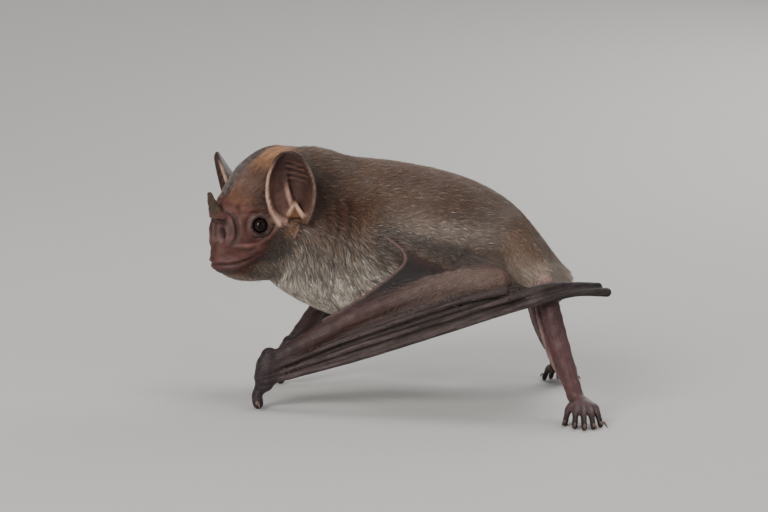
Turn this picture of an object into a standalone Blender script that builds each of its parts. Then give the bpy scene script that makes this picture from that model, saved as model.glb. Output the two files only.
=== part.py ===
"""Common vampire bat standing on its wrists and feet: a life-size still model in solids."""
import bmesh
import bpy
import numpy as np

MM = 0.001
GAP = 0.3                       # clearance left between neighbouring solids, mm
ORIGIN_SHIFT = (-29.99, -4.90, 0.0)  # moves the design frame onto the base centre, mm

# design frame, mm: -X is forward, -Y the bat's left, Z up, floor at Z = 0
HEAD_ORIGIN = np.array([-0.3, -4.1, 38.7])   # midway between the ear bases
HEAD_YAW_DEG = 40.0                          # head turned toward the bat's left
NECK_CUT_X = 14.0
EYE_RADIUS = 1.95
EYE_SEAT = np.array([7.7, 6.1, -0.9])        # forward, side, up from the head origin
EAR_LENGTH = 15.8
EAR_THICK = 0.8
WEB_THICK = 0.7
FOLD_THICK = 1.4
FINGER_R = 0.9
TOE_R = 0.75
CLAW_R = 0.42

COAT_BACK = (0.20, 0.145, 0.105)
COAT_NECK = (0.24, 0.13, 0.075)
COAT_HEAD = (0.27, 0.15, 0.08)
BARE_FACE = (0.16, 0.085, 0.085)
BARE_EAR = (0.11, 0.075, 0.075)
BARE_ARM = (0.10, 0.065, 0.06)
BARE_WING = (0.055, 0.042, 0.048)
BARE_LEG = (0.19, 0.11, 0.125)
BARE_TOE = (0.30, 0.20, 0.20)
HORN = (0.09, 0.07, 0.06)
EYE_DARK = (0.012, 0.008, 0.007)


def unit(vector):
    """Return the vector at length one."""
    vector = np.asarray(vector, float)
    return vector / np.linalg.norm(vector)


def material(name, colour, roughness=0.7, coat=0.0):
    """Return a Principled material of one colour."""
    mat = bpy.data.materials.new(name)
    mat.use_nodes = True
    shader = mat.node_tree.nodes["Principled BSDF"]
    shader.inputs["Base Color"].default_value = (*colour, 1.0)
    shader.inputs["Roughness"].default_value = roughness
    shader.inputs["Metallic"].default_value = 0.0
    shader.inputs["Coat Weight"].default_value = coat
    mat.diffuse_color = (*colour, 1.0)
    return mat


def curve(rows, count):
    """Catmull-Rom curve through the rows, sampled at count even steps of row number."""
    rows = np.asarray(rows, float)
    padded = np.vstack([2 * rows[0] - rows[1], rows, 2 * rows[-1] - rows[-2]])
    place = np.linspace(0, len(rows) - 1, count)
    low = np.minimum(place.astype(int), len(rows) - 2)
    t = (place - low)[:, None]
    p0, p1, p2, p3 = (padded[low + k] for k in range(4))
    return 0.5 * (2 * p1 + (p2 - p0) * t + (2 * p0 - 5 * p1 + 4 * p2 - p3) * t ** 2
                  + (3 * p1 - p0 - 3 * p2 + p3) * t ** 3)


def frames(centres, hint):
    """Return the two side directions of each ring of a path."""
    run = np.gradient(centres, axis=0)
    run /= np.linalg.norm(run, axis=1)[:, None]
    up = np.asarray(hint, float) - run * (run @ np.asarray(hint, float))[:, None]
    up /= np.linalg.norm(up, axis=1)[:, None]
    return run, up, np.cross(run, up)


def new_object(name, verts, faces):
    """Make an object from millimetre vertices."""
    mesh = bpy.data.meshes.new(name)
    moved = (np.asarray(verts) + np.array(ORIGIN_SHIFT)) * MM
    mesh.from_pydata(moved.tolist(), [], faces)
    obj = bpy.data.objects.new(name, mesh)
    bpy.context.scene.collection.objects.link(obj)
    work = bmesh.new()
    work.from_mesh(mesh)
    bmesh.ops.recalc_face_normals(work, faces=work.faces)
    work.to_mesh(mesh)
    work.free()
    return obj


def loft(name, rows, steps, sides=12, hint=(0, 0, 1), fixed=None, grow=0.0, ends=(1.0, 1.0),
         cap_rings=2):
    """Closed body of oval rings along a path; rows hold x, y, z, radius up, radius side."""
    data = curve(rows, steps)
    centres = data[:, :3]
    if fixed is None:
        run, up, side = frames(centres, hint)
    else:
        run, up, side = (np.tile(unit(v), (steps, 1)) for v in fixed)
    radii = np.maximum(data[:, 3:5], 0.05) + grow
    first = cap(centres[0], -run[0], radii[0], ends[0], cap_rings)
    last = cap(centres[-1], run[-1], radii[-1], ends[1], cap_rings)
    centres = np.vstack([first[0][::-1], centres, last[0]])
    radii = np.vstack([first[1][::-1], radii, last[1]])
    extra = len(first[0])
    up = np.vstack([up[:1]] * extra + [up] + [up[-1:]] * extra)
    side = np.vstack([side[:1]] * extra + [side] + [side[-1:]] * extra)
    turn = np.arange(sides) * 2 * np.pi / sides
    verts = (centres[:, None] + up[:, None] * (radii[:, :1] * np.cos(turn))[..., None]
             + side[:, None] * (radii[:, 1:] * np.sin(turn))[..., None]).reshape(-1, 3)
    rings = len(centres)
    tip_low = centres[0] - (centres[1] - centres[0]) * 0.45
    tip_high = centres[-1] + (centres[-1] - centres[-2]) * 0.45
    verts = np.vstack([verts, tip_low, tip_high])
    return new_object(name, verts, ring_faces(rings, sides))


def cap(centre, run, radii, depth, count):
    """Shrinking rings that round off the end of a loft."""
    reach = radii.mean() * depth
    form = ((0.55, 0.84), (0.88, 0.48)) if count == 2 else ((0.72, 0.68),)
    places = [centre + run * reach * s for s, _ in form]
    sizes = [radii * s for _, s in form]
    return np.array(places), np.array(sizes)


def ring_faces(rings, sides):
    """Quads between the rings and fans at both poles."""
    faces = []
    for i in range(rings - 1):
        for j in range(sides):
            k = (j + 1) % sides
            faces.append((i * sides + j, i * sides + k, (i + 1) * sides + k, (i + 1) * sides + j))
    low = rings * sides
    for j in range(sides):
        k = (j + 1) % sides
        faces.append((low, k, j))
        faces.append((low + 1, (rings - 1) * sides + j, (rings - 1) * sides + k))
    return faces


def sheet(name, points, thick):
    """Closed plate of a given thickness about a grid of points."""
    points = np.asarray(points, float)
    rows, cols = points.shape[:2]
    across = np.gradient(points, axis=1)
    along = np.gradient(points, axis=0)
    normal = np.cross(along, across)
    normal /= np.maximum(np.linalg.norm(normal, axis=2), 1e-9)[..., None]
    half = np.broadcast_to(np.asarray(thick, float), (rows, cols))[..., None] / 2
    verts = np.vstack([(points + normal * half).reshape(-1, 3),
                       (points - normal * half).reshape(-1, 3)])
    back = rows * cols
    faces = []
    for i in range(rows - 1):
        for j in range(cols - 1):
            a = i * cols + j
            quad = (a, a + 1, a + cols + 1, a + cols)
            faces.append(quad)
            faces.append(tuple(back + v for v in reversed(quad)))
    rim = [j for j in range(cols)]
    rim += [i * cols + cols - 1 for i in range(1, rows)]
    rim += [(rows - 1) * cols + j for j in range(cols - 2, -1, -1)]
    rim += [i * cols for i in range(rows - 2, 0, -1)]
    for a, b in zip(rim, rim[1:] + rim[:1]):
        faces.append((b, a, back + a, back + b))
    return new_object(name, verts, faces)


def apply_boolean(obj, tool, operation):
    """Apply an exact Boolean of one object with another and remove the tool."""
    mod = obj.modifiers.new("bool", "BOOLEAN")
    mod.operation = operation
    mod.solver = "EXACT"
    mod.object = tool
    bpy.context.view_layer.update()
    graph = bpy.context.evaluated_depsgraph_get()
    mesh = bpy.data.meshes.new_from_object(obj.evaluated_get(graph))
    old = obj.data
    obj.modifiers.clear()
    obj.data = mesh
    mesh.name = old.name
    bpy.data.meshes.remove(old)
    bpy.data.objects.remove(tool)


def carve(obj, makers):
    """Cut grown copies of the neighbours from an object and keep its largest piece."""
    for make in makers:
        apply_boolean(obj, make(GAP), "DIFFERENCE")
    tidy(obj)


def tidy(obj):
    """Merge close vertices, drop slivers and keep the largest connected piece."""
    for merge in (0.03, 0.01, 0.003, 0.0):
        work = bmesh.new()
        work.from_mesh(obj.data)
        if merge > 0:
            bmesh.ops.remove_doubles(work, verts=work.verts, dist=merge * MM)
            bmesh.ops.dissolve_degenerate(work, edges=work.edges, dist=merge * MM)
        for group in islands(work)[1:]:
            bmesh.ops.delete(work, geom=group, context="VERTS")
        bmesh.ops.triangulate(work, faces=[f for f in work.faces if len(f.verts) > 4])
        bmesh.ops.recalc_face_normals(work, faces=work.faces)
        closed = all(edge.is_manifold for edge in work.edges)
        if closed or merge == 0.0:
            work.to_mesh(obj.data)
            work.free()
            return
        work.free()


def islands(work):
    """Return the connected vertex groups, largest first."""
    left = set(work.verts)
    groups = []
    while left:
        group = [left.pop()]
        for vert in group:
            near = {edge.other_vert(vert) for edge in vert.link_edges} & left
            group.extend(near)
            left -= near
        groups.append(group)
    return sorted(groups, key=len, reverse=True)


def flatten_base(obj):
    """Cut an object flat on the floor level."""
    work = bmesh.new()
    work.from_mesh(obj.data)
    geom = work.verts[:] + work.edges[:] + work.faces[:]
    cut = bmesh.ops.bisect_plane(work, geom=geom, dist=1e-7, plane_co=(0, 0, 0),
                                 plane_no=(0, 0, -1), clear_outer=True)
    rim = [e for e in cut["geom_cut"] if isinstance(e, bmesh.types.BMEdge)]
    bmesh.ops.holes_fill(work, edges=rim, sides=0)
    for vert in work.verts:
        if abs(vert.co.z) < 2e-6:
            vert.co.z = 0.0
    work.to_mesh(obj.data)
    work.free()
    tidy(obj)


def half_space(name, x_mm, keep):
    """A box covering everything on one side of a plane across the body."""
    reach = 200.0
    low = np.array([x_mm, -reach, -reach])
    if keep < 0:
        low = np.array([x_mm - reach, -reach, -reach])
    span = np.array([reach, 2 * reach, 2 * reach])
    corners = np.array([(i, j, k) for i in (0, 1) for j in (0, 1) for k in (0, 1)])
    faces = [(0, 1, 3, 2), (4, 6, 7, 5), (0, 4, 5, 1), (2, 3, 7, 6), (0, 2, 6, 4), (1, 5, 7, 3)]
    return new_object(name, low + corners * span, faces)


# ---- body ---------------------------------------------------------------------------------

# x, top, bottom, half width, middle line y
TORSO = [(-3.5, 44.0, 27.4, 4.6, -5.4),
         (1.5, 53.6, 23.6, 8.0, -3.8),
         (6.5, 55.2, 20.6, 9.8, -1.9),
         (11.0, 54.9, 18.6, 10.8, -0.9),
         (16.0, 53.5, 17.0, 12.0, -0.2),
         (23.0, 53.1, 16.2, 14.0, 0.0),
         (31.0, 52.3, 16.0, 15.6, 0.0),
         (39.0, 50.9, 17.0, 16.2, 0.0),
         (47.0, 48.2, 18.7, 15.9, 0.0),
         (54.0, 43.9, 20.6, 14.2, 0.0),
         (60.0, 37.4, 23.0, 11.2, 0.0),
         (64.5, 31.9, 25.2, 7.4, 0.0),
         (67.2, 29.2, 26.4, 4.2, 0.0)]

# forward, top, bottom, half width in the head's own frame
SKULL = [(-8.6, 8.5, -4.0, 5.2),
         (-6.0, 14.2, -8.0, 8.4),
         (-2.0, 16.4, -11.0, 9.6),
         (2.0, 15.9, -12.3, 9.9),
         (6.0, 13.4, -10.6, 9.0),
         (9.0, 10.0, -9.6, 7.6),
         (12.0, 5.5, -9.6, 5.3),
         (14.0, 3.2, -9.2, 3.4)]

JAW = [(1.5, -6.0, -13.6, 6.0),
       (5.5, -6.4, -13.9, 5.9),
       (9.0, -6.6, -13.6, 5.0),
       (12.0, -7.4, -12.7, 3.8),
       (13.6, -8.2, -12.0, 2.7)]


def head_axes():
    """Forward and left directions of the turned head."""
    yaw = np.radians(HEAD_YAW_DEG)
    forward = np.array([-np.cos(yaw), -np.sin(yaw), 0.0])
    left = np.array([np.sin(yaw), -np.cos(yaw), 0.0])
    return forward, left


def from_head(forward, side, up):
    """Turn head-frame distances into a design-frame point."""
    f_dir, l_dir = head_axes()
    return HEAD_ORIGIN + f_dir * forward + l_dir * side + np.array([0.0, 0.0, up])


def torso(grow=0.0):
    """Neck and trunk in one oval loft along X."""
    rows = [(x, y, (t + b) / 2, (t - b) / 2, w) for x, t, b, w, y in TORSO]
    return loft("torso", rows, 14, sides=16, grow=grow, ends=(0.3, 0.7),
                fixed=((1, 0, 0), (0, 0, 1), (0, 1, 0)))


def head_loft(name, table, steps, sides, grow, ends):
    """Loft a table of head-frame sections."""
    f_dir, l_dir = head_axes()
    rows = [(*from_head(f, 0.0, (t + b) / 2), (t - b) / 2, w) for f, t, b, w in table]
    return loft(name, rows, steps, sides=sides, grow=grow, ends=ends,
                fixed=(f_dir, (0, 0, 1), l_dir))


def skull(grow=0.0):
    """Head down to the mouth line."""
    return head_loft("head", SKULL, 11, 16, grow, (0.35, 0.30))


def jaw(grow=0.0):
    """Lower jaw and chin."""
    return head_loft("lower_jaw", JAW, 6, 14, grow, (0.5, 0.4))


def nose_leaf(grow=0.0):
    """Upright fleshy pad and leaf on the front of the muzzle."""
    table = [(14.3, -5.6, 0.9, 2.3), (14.5, -3.6, 1.0, 3.2), (14.4, -0.8, 1.0, 3.2),
             (14.8, 1.6, 0.9, 2.6), (16.0, 3.8, 0.7, 1.4), (16.9, 5.4, 0.5, 0.7)]
    f_dir, l_dir = head_axes()
    rows = [(*from_head(f, 0.0, z), r, w) for f, z, r, w in table]
    return loft("nose_leaf", rows, 6, sides=8, grow=grow, ends=(0.6, 0.6),
                fixed=((0, 0, 1), f_dir, l_dir))


def eye(side, grow=0.0):
    """Ball of the eye."""
    centre = from_head(EYE_SEAT[0], EYE_SEAT[1] * side, EYE_SEAT[2])
    radius = EYE_RADIUS + grow
    turn = np.linspace(-0.80, 0.80, 5) * np.pi / 2
    rows = [(*(centre + np.array([0, 0, radius * np.sin(t)])), radius * np.cos(t),
             radius * np.cos(t)) for t in turn]
    name = "eye_left" if side > 0 else "eye_right"
    return loft(name, rows, 5, sides=10, hint=(0, 1, 0), ends=(0.3, 0.3), cap_rings=1,
                fixed=((0, 0, 1), (1, 0, 0), (0, 1, 0)))


# ---- ears ---------------------------------------------------------------------------------

# share of the length, half width, depth of the cup
EAR_FORM = [(0.0, 2.9, 3.3), (0.18, 4.2, 3.8), (0.40, 5.05, 3.4), (0.62, 4.85, 2.45),
            (0.82, 3.5, 1.45), (0.95, 1.75, 0.75), (1.0, 0.7, 0.3)]
EAR_ROOT = {1: (1.3, 8.9, 0.4), -1: (-0.4, -8.5, -0.8)}
EAR_TIP = {1: (4.1, 10.3, 15.1), -1: (4.6, -15.4, 13.0)}
EAR_OPEN = {1: (0.50, 0.87, 0.0), -1: (0.86, -0.50, 0.0)}


def head_turn(vector):
    """Turn a head-frame direction into the design frame."""
    f_dir, l_dir = head_axes()
    return f_dir * vector[0] + l_dir * vector[1] + np.array([0.0, 0.0, vector[2]])


def ear_axes(side):
    """Root, axis, facing direction and length of one ear."""
    root = from_head(*EAR_ROOT[side])
    tip = from_head(*EAR_TIP[side])
    axis = unit(tip - root)
    opening = head_turn(EAR_OPEN[side])
    opening = unit(opening - axis * (opening @ axis))
    return root, axis, opening, np.linalg.norm(tip - root)


def ear(side):
    """Rounded cup of the ear, open forward and outward."""
    root, axis, opening, length = ear_axes(side)
    across = np.cross(axis, opening)
    form = curve(EAR_FORM, 9)
    v = np.linspace(-1, 1, 7)
    centre = root + axis * (form[:, :1] * length)
    grid = (centre[:, None] + across * (form[:, 1:2] * v)[..., None]
            + opening * (form[:, 2:3] * (v ** 2 - 0.35))[..., None])
    name = "ear_left" if side > 0 else "ear_right"
    return sheet(name, grid, EAR_THICK)


def tragus(side, grow=0.0):
    """Small pointed flap standing in the mouth of the ear."""
    root, axis, opening, _ = ear_axes(side)
    rows = [(*(root + opening * 2.7 + axis * 1.6), 0.55, 1.3),
            (*(root + opening * 3.2 + axis * 4.6), 0.5, 1.15),
            (*(root + opening * 3.2 + axis * 8.0), 0.4, 0.5)]
    name = "tragus_left" if side > 0 else "tragus_right"
    return loft(name, rows, 4, sides=8, hint=opening, grow=grow, ends=(0.5, 0.8))


# ---- arms and folded wings ----------------------------------------------------------------

class Arm:
    """Joints of one arm and the frame of its folded wing."""

    def __init__(self, tag, side, shoulder, elbow, wrist, hang, bend):
        """Store the joints; hang points from the forearm toward the folded fingers."""
        self.tag = tag
        self.side = side
        self.shoulder = np.array(shoulder, float)
        self.elbow = np.array(elbow, float)
        self.wrist = np.array(wrist, float)
        self.bend = np.array(bend, float)
        self.run = unit(self.elbow - self.wrist)
        hang = np.array(hang, float)
        self.hang = unit(hang - self.run * (hang @ self.run))
        self.out = np.cross(self.run, self.hang)
        if self.out[1] * side < 0:
            self.out = -self.out

    def at(self, run, hang, out):
        """Point from distances along the forearm, toward the fingers and outward."""
        return self.wrist + self.run * run + self.hang * hang + self.out * out


NEAR = Arm("left", -1, (25.0, -10.5, 36.0), (51.0, -20.0, 28.8), (1.5, -27.0, 9.5), (0, 0, -1),
           (13.3, 2.0, 1.9))
FAR = Arm("right", 1, (25.0, 10.5, 36.0), (35.4, 34.8, 39.0), (4.4, 4.0, 7.8),
          (0.6, 0.3, -0.75), (12.4, -4.2, -3.4))
ARMS = (NEAR, FAR)

FOREARM = [(1.5, 0.0, 0.0, 2.2), (8.0, -1.4, 0.0, 2.1), (22.0, -3.5, 0.2, 2.3),
           (37.0, -3.9, 0.2, 2.6), (47.5, -2.3, 0.0, 2.9), (52.5, -0.4, 0.0, 2.8)]
# run, hang, out, radius
FINGERS = {
    "finger_3": [(1.5, 3.9, 1.5, 0.62), (19.0, 4.7, 2.6, 1.0), (39.0, 5.1, 3.8, 1.05),
                 (50.0, 5.1, 5.0, 1.05), (60.0, 5.1, 6.3, 1.15), (67.0, 6.2, 6.6, 0.95),
                 (73.2, 8.2, 6.6, 1.1)],
    "finger_4": [(1.8, 2.3, 1.7, 0.6), (19.5, 2.3, 2.8, 0.95), (40.0, 2.6, 4.2, 1.0),
                 (50.5, 2.7, 5.3, 1.0), (60.5, 2.9, 5.9, 1.0), (67.0, 4.6, 5.2, 0.85),
                 (72.4, 6.7, 4.9, 0.9)],
    "finger_5": [(2.0, 0.8, 1.9, 0.55), (20.0, 0.0, 2.8, 0.9), (41.0, 0.1, 3.9, 0.95),
                 (52.6, 0.9, 4.6, 1.15)]}


def upper_arm(arm, grow=0.0):
    """Upper arm from the shoulder to the elbow."""
    mid = (arm.shoulder + arm.elbow) / 2
    end = arm.shoulder + (arm.elbow - arm.shoulder) * 0.95
    rows = [(*arm.shoulder, 5.0, 4.6), (*mid, 4.1, 3.9), (*end, 3.1, 2.9)]
    return loft("upper_arm_" + arm.tag, rows, 5, sides=9, grow=grow)


def forearm(arm, grow=0.0):
    """Bowed forearm from the wrist to the elbow."""
    rows = [(*arm.at(s, h, o), r, r) for s, h, o, r in FOREARM]
    return loft("forearm_" + arm.tag, rows, 9, sides=8, hint=-arm.hang, grow=grow)


def hand(arm, grow=0.0):
    """Wrist block standing over the thumb."""
    x, y, z = arm.wrist
    rows = [(x + 0.4, y, z + 1.8, 2.0, 2.0), (x - 0.1, y + 0.2 * arm.side, z - 0.4, 2.7, 2.2),
            (x - 0.1, y + 0.4 * arm.side, z - 2.8, 2.8, 1.9),
            (x - 0.4, y + 0.4 * arm.side, z - 4.4, 2.0, 1.5)]
    return loft("hand_" + arm.tag, rows, 5, sides=8, hint=(-1, 0, 0), grow=grow)


def thumb(arm, grow=0.0):
    """Thumb bearing on the floor with a small flat pad."""
    x, y, _ = arm.wrist
    rows = [(x - 1.0, y + 0.3 * arm.side, 4.6, 1.35, 1.3),
            (x - 1.9, y + 0.4 * arm.side, 2.9, 1.25, 1.2),
            (x - 1.5, y + 0.8 * arm.side, 0.55, 1.3, 1.25)]
    return loft("thumb_" + arm.tag, rows, 5, sides=8, hint=(-1, 0, 0), grow=grow,
                ends=(0.6, 0.5))


def thumb_claw(arm):
    """Curved claw of the thumb."""
    x, y, _ = arm.wrist
    rows = [(x - 1.6, y + 1.9 * arm.side, 1.3, 0.5, 0.45),
            (x - 1.3, y + 3.1 * arm.side, 1.35, 0.42, 0.38),
            (x - 0.8, y + 4.1 * arm.side, 0.5, 0.16, 0.16)]
    return loft("thumb_claw_" + arm.tag, rows, 3, sides=5, ends=(0.6, 1.4),
                cap_rings=1)


def finger(arm, label, grow=0.0):
    """One long finger of the folded wing."""
    rows = [(*arm.at(s, h, o), r, r) for s, h, o, r in FINGERS[label]]
    if len(rows) > 5:
        kink = np.array(rows[4][:3])
        for k in (5, 6):
            share = (FINGERS[label][k][0] - FINGERS[label][4][0]) / 13.2
            drop = FINGERS[label][k][1] - FINGERS[label][4][1] - 3.1 * share
            away = FINGERS[label][k][2] - FINGERS[label][4][2]
            rows[k] = (*(kink + arm.bend * share + np.array([0, away * arm.side, -drop])),
                       *rows[k][3:])
    return loft(label + "_" + arm.tag, rows, 2 * len(rows) - 3, sides=6, hint=-arm.hang,
                grow=grow, cap_rings=1)


def wing_fold(arm, grow=0.0):
    """Folded skin between the forearm and the long fingers."""
    s = np.linspace(3.0, 56.0, 9)
    bow = curve([(r[0], r[1]) for r in FOREARM], 60)
    top = np.interp(s, bow[:, 0], bow[:, 1])
    top = np.where(s > 44.0, top + (s - 44.0) * 0.25, top)
    third = np.array(FINGERS["finger_3"])
    low = np.interp(s, third[:, 0], third[:, 1]) + 0.3
    out = np.interp(s, third[:, 0], third[:, 2]) - 1.5
    t = np.linspace(0, 1, 4)
    hang = top[:, None] + (low - top)[:, None] * t
    away = out[:, None] * np.sqrt(np.minimum(t * 1.5, 1.0))
    grid = (arm.wrist + arm.run * (s[:, None] + 0 * t)[..., None]
            + arm.hang * hang[..., None] + arm.out * away[..., None])
    return sheet("wing_fold_" + arm.tag, grid, FOLD_THICK + 2 * grow)


def propatagium(arm):
    """Web of skin in front of the elbow, from the wrist to the shoulder."""
    t = np.linspace(0, 1, 10)
    along = np.minimum(t / 0.62, 1.0)
    bow = np.array([arm.at(s, h, o) for s, h, o, _ in FOREARM])
    inner = curve(bow, 40)[(6 + along * 31).astype(int)]
    back = np.clip((t - 0.62) / 0.38, 0, 1)[:, None]
    inner = inner * (1 - back) + (arm.shoulder + (arm.elbow - arm.shoulder) * 0.1) * back
    edge = curve(WEB_EDGE[arm.tag], 10)
    s = np.linspace(0, 1, 4)[None, :, None]
    grid = edge[:, None] * (1 - s) + inner[:, None] * s
    return sheet("propatagium_" + arm.tag, grid, WEB_THICK)


WEB_EDGE = {
    "left": [(13.0, -25.6, 19.4), (18.5, -24.6, 22.7), (23.5, -22.2, 26.2), (28.0, -19.2, 29.8),
             (29.8, -17.6, 32.4), (28.6, -16.6, 34.6), (25.6, -16.0, 36.6)],
    "right": [(9.0, 12.6, 16.6), (12.4, 15.4, 20.6), (15.4, 17.4, 24.6), (18.6, 18.4, 28.6),
              (21.2, 17.8, 32.0), (22.6, 16.2, 34.8), (23.4, 14.8, 36.8)]}


# ---- legs ---------------------------------------------------------------------------------

class Leg:
    """Joints of one leg."""

    def __init__(self, tag, side):
        """Store the joints for the given side."""
        self.tag = tag
        self.side = side
        self.hip = self.on(50.0, 6.0, 37.5)
        self.knee = self.on(59.6, 20.4, 29.4)
        self.shin_mid = self.on(63.3, 22.0, 17.5)
        self.ankle = self.on(67.7, 23.6, 5.2)
        self.sole = self.on(69.4, 26.4, 3.9)

    def on(self, x, out, z):
        """Point at a distance out from the middle plane on this side."""
        return np.array([x, out * self.side, z])


LEGS = (Leg("left", -1), Leg("right", 1))
# x of the base, then x and out of the tip
TOES = [(66.6, 65.2, 29.4), (67.7, 67.0, 32.2), (68.9, 68.9, 33.4), (70.0, 71.0, 31.8),
        (71.0, 72.8, 28.8)]


def thigh(leg, grow=0.0):
    """Thigh from the hip to the knee."""
    mid = leg.hip * 0.45 + leg.knee * 0.55
    rows = [(*leg.hip, 6.5, 5.0), (*mid, 5.0, 4.2), (*(leg.hip * 0.04 + leg.knee * 0.96), 2.7, 2.5)]
    return loft("thigh_" + leg.tag, rows, 5, sides=8, grow=grow)


def shin(leg, grow=0.0):
    """Shin from the knee to the ankle."""
    rows = [(*leg.knee, 2.3, 2.2), (*(leg.knee * 0.6 + leg.shin_mid * 0.4), 2.3, 2.1),
            (*leg.shin_mid, 2.2, 2.0), (*(leg.ankle * 0.85 + leg.shin_mid * 0.15), 1.9, 1.7),
            (*leg.ankle, 1.75, 1.6)]
    return loft("shin_" + leg.tag, rows, 5, sides=8, hint=(1, 0, 0), grow=grow)


def toe_rows(leg, row):
    """Stations of one toe, arched from the sole down to the floor."""
    base, tip, out = row
    start = leg.on(base, 25.6, 3.7)
    end = leg.on(tip, out, 0.32)
    middle = start * 0.5 + end * 0.5 + np.array([0.0, 0.0, 1.05])
    late = start * 0.15 + end * 0.85 + np.array([0.0, 0.0, 0.35])
    radii = (TOE_R + 0.15, TOE_R, TOE_R, TOE_R - 0.05)
    places = (start, middle, late, end)
    return [(*p, r, r) for p, r in zip(places, radii)]


def foot(leg):
    """Sole and five toes joined, flat where the toe pads meet the floor."""
    rows = [(*(leg.ankle + np.array([0.0, 0.0, 0.6])), 1.35, 1.6), (*leg.sole, 1.3, 3.1),
            (*leg.on(69.5, 28.0, 3.4), 0.9, 3.2)]
    body = loft("foot_" + leg.tag, rows, 4, sides=8, hint=(0, 0, 1), ends=(0.8, 0.6))
    for number in range(len(TOES)):
        apply_boolean(body, toe(leg, number), "UNION")
    flatten_base(body)
    return body


def toe(leg, number, grow=0.0):
    """One toe before it is joined to the sole."""
    return loft("toe", toe_rows(leg, TOES[number]), 4, sides=6, ends=(0.6, 0.9), grow=grow,
                cap_rings=1)


def toe_claw(leg, number):
    """Curved claw ahead of one toe pad."""
    base, tip, out = TOES[number]
    start = leg.on(base, 25.6, 0.0)
    end = leg.on(tip, out, 0.0)
    ahead = unit(end - start)
    rows = [(*(end + ahead * 0.3 + np.array([0, 0, 0.95])), 0.46, 0.44),
            (*(end + ahead * 1.5 + np.array([0, 0, 1.1])), 0.38, 0.36),
            (*(end + ahead * 2.5 + np.array([0, 0, 0.42])), 0.14, 0.14)]
    claw = loft("toe_claw_%s_%d" % (leg.tag, number + 1), rows, 3, sides=4, ends=(0.4, 1.2),
                cap_rings=1)
    carve(claw, [lambda g: toe(leg, number, g)])
    return claw


def leg_web(leg):
    """Edge of the wing skin running down the front of the shin."""
    outer = curve([(*leg.on(58.2, 18.0, 25.6),), (*leg.on(59.2, 19.5, 20.6),),
                   (*leg.on(61.2, 20.9, 14.6),), (*leg.on(63.9, 22.0, 9.6),),
                   (*leg.on(66.2, 22.9, 6.9),)], 7)
    inner = curve([leg.knee * 0.9 + leg.shin_mid * 0.1, leg.shin_mid,
                   leg.ankle * 0.8 + leg.shin_mid * 0.2], 7)
    s = np.linspace(0, 1, 3)[None, :, None]
    return sheet("leg_web_" + leg.tag, outer[:, None] * (1 - s) + inner[:, None] * s, WEB_THICK)


def tail_web():
    """Narrow fringe of skin between the legs, arched under the rump."""
    turn = np.linspace(-1, 1, 11)
    legs = np.abs(turn)[:, None]
    side = np.sign(turn)
    upper_mid = np.array([64.8, 0.0, 27.2])
    lower_mid = np.array([66.8, 0.0, 24.6])
    upper_end = np.array([60.0, 20.0, 28.4])
    lower_end = np.array([61.8, 21.0, 23.6])
    grid = []
    for mid, end in ((upper_mid, upper_end), (lower_mid, lower_end)):
        bow = 1 - (1 - legs) ** 1.5 if mid is lower_mid else legs
        line = mid * (1 - bow) + end * bow
        line[:, 1] = end[1] * np.abs(turn) * side
        grid.append(line)
    s = np.linspace(0, 1, 3)[None, :, None]
    points = grid[0][:, None] * (1 - s) + grid[1][:, None] * s
    return sheet("tail_web", points, WEB_THICK)


# ---- assembly -----------------------------------------------------------------------------

def assign(obj, colour, roughness=0.7, coat=0.0):
    """Give an object its own material."""
    obj.data.materials.clear()
    obj.data.materials.append(material(obj.name, colour, roughness, coat))


def build_body():
    """Trunk, neck, head, jaw, nose, eyes and ears."""
    trunk = torso()
    trunk.name = "trunk"
    limbs = [lambda g, a=arm: upper_arm(a, g) for arm in ARMS]
    limbs += [lambda g, a=leg: thigh(a, g) for leg in LEGS]
    limbs += [lambda g, a=leg: shin(a, g) for leg in LEGS]
    carve(trunk, [lambda g: half_space("cut", NECK_CUT_X + GAP / 2, -1)] + limbs)
    assign(trunk, COAT_BACK, 0.9)
    neck = torso()
    neck.name = "neck"
    carve(neck, [lambda g: half_space("cut", NECK_CUT_X - GAP / 2, 1), skull, jaw])
    assign(neck, COAT_NECK, 0.9)
    head = skull()
    eyes = [lambda g, s=side: eye(s, g) for side in (1, -1)]
    carve(head, [nose_leaf] + eyes)
    assign(head, COAT_HEAD, 0.85)
    chin = jaw()
    carve(chin, [skull, nose_leaf])
    assign(chin, BARE_FACE, 0.7)
    assign(tidied(nose_leaf()), BARE_FACE, 0.6)
    for side in (1, -1):
        assign(tidied(eye(side)), EYE_DARK, 0.08, 1.0)
        shell = ear(side)
        carve(shell, [skull, torso])
        assign(shell, BARE_EAR, 0.7)
        flap = tragus(side)
        carve(flap, [skull])
        assign(flap, BARE_EAR, 0.7)


def tidied(obj):
    """Clean an object that needs no cutting."""
    tidy(obj)
    return obj


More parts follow.
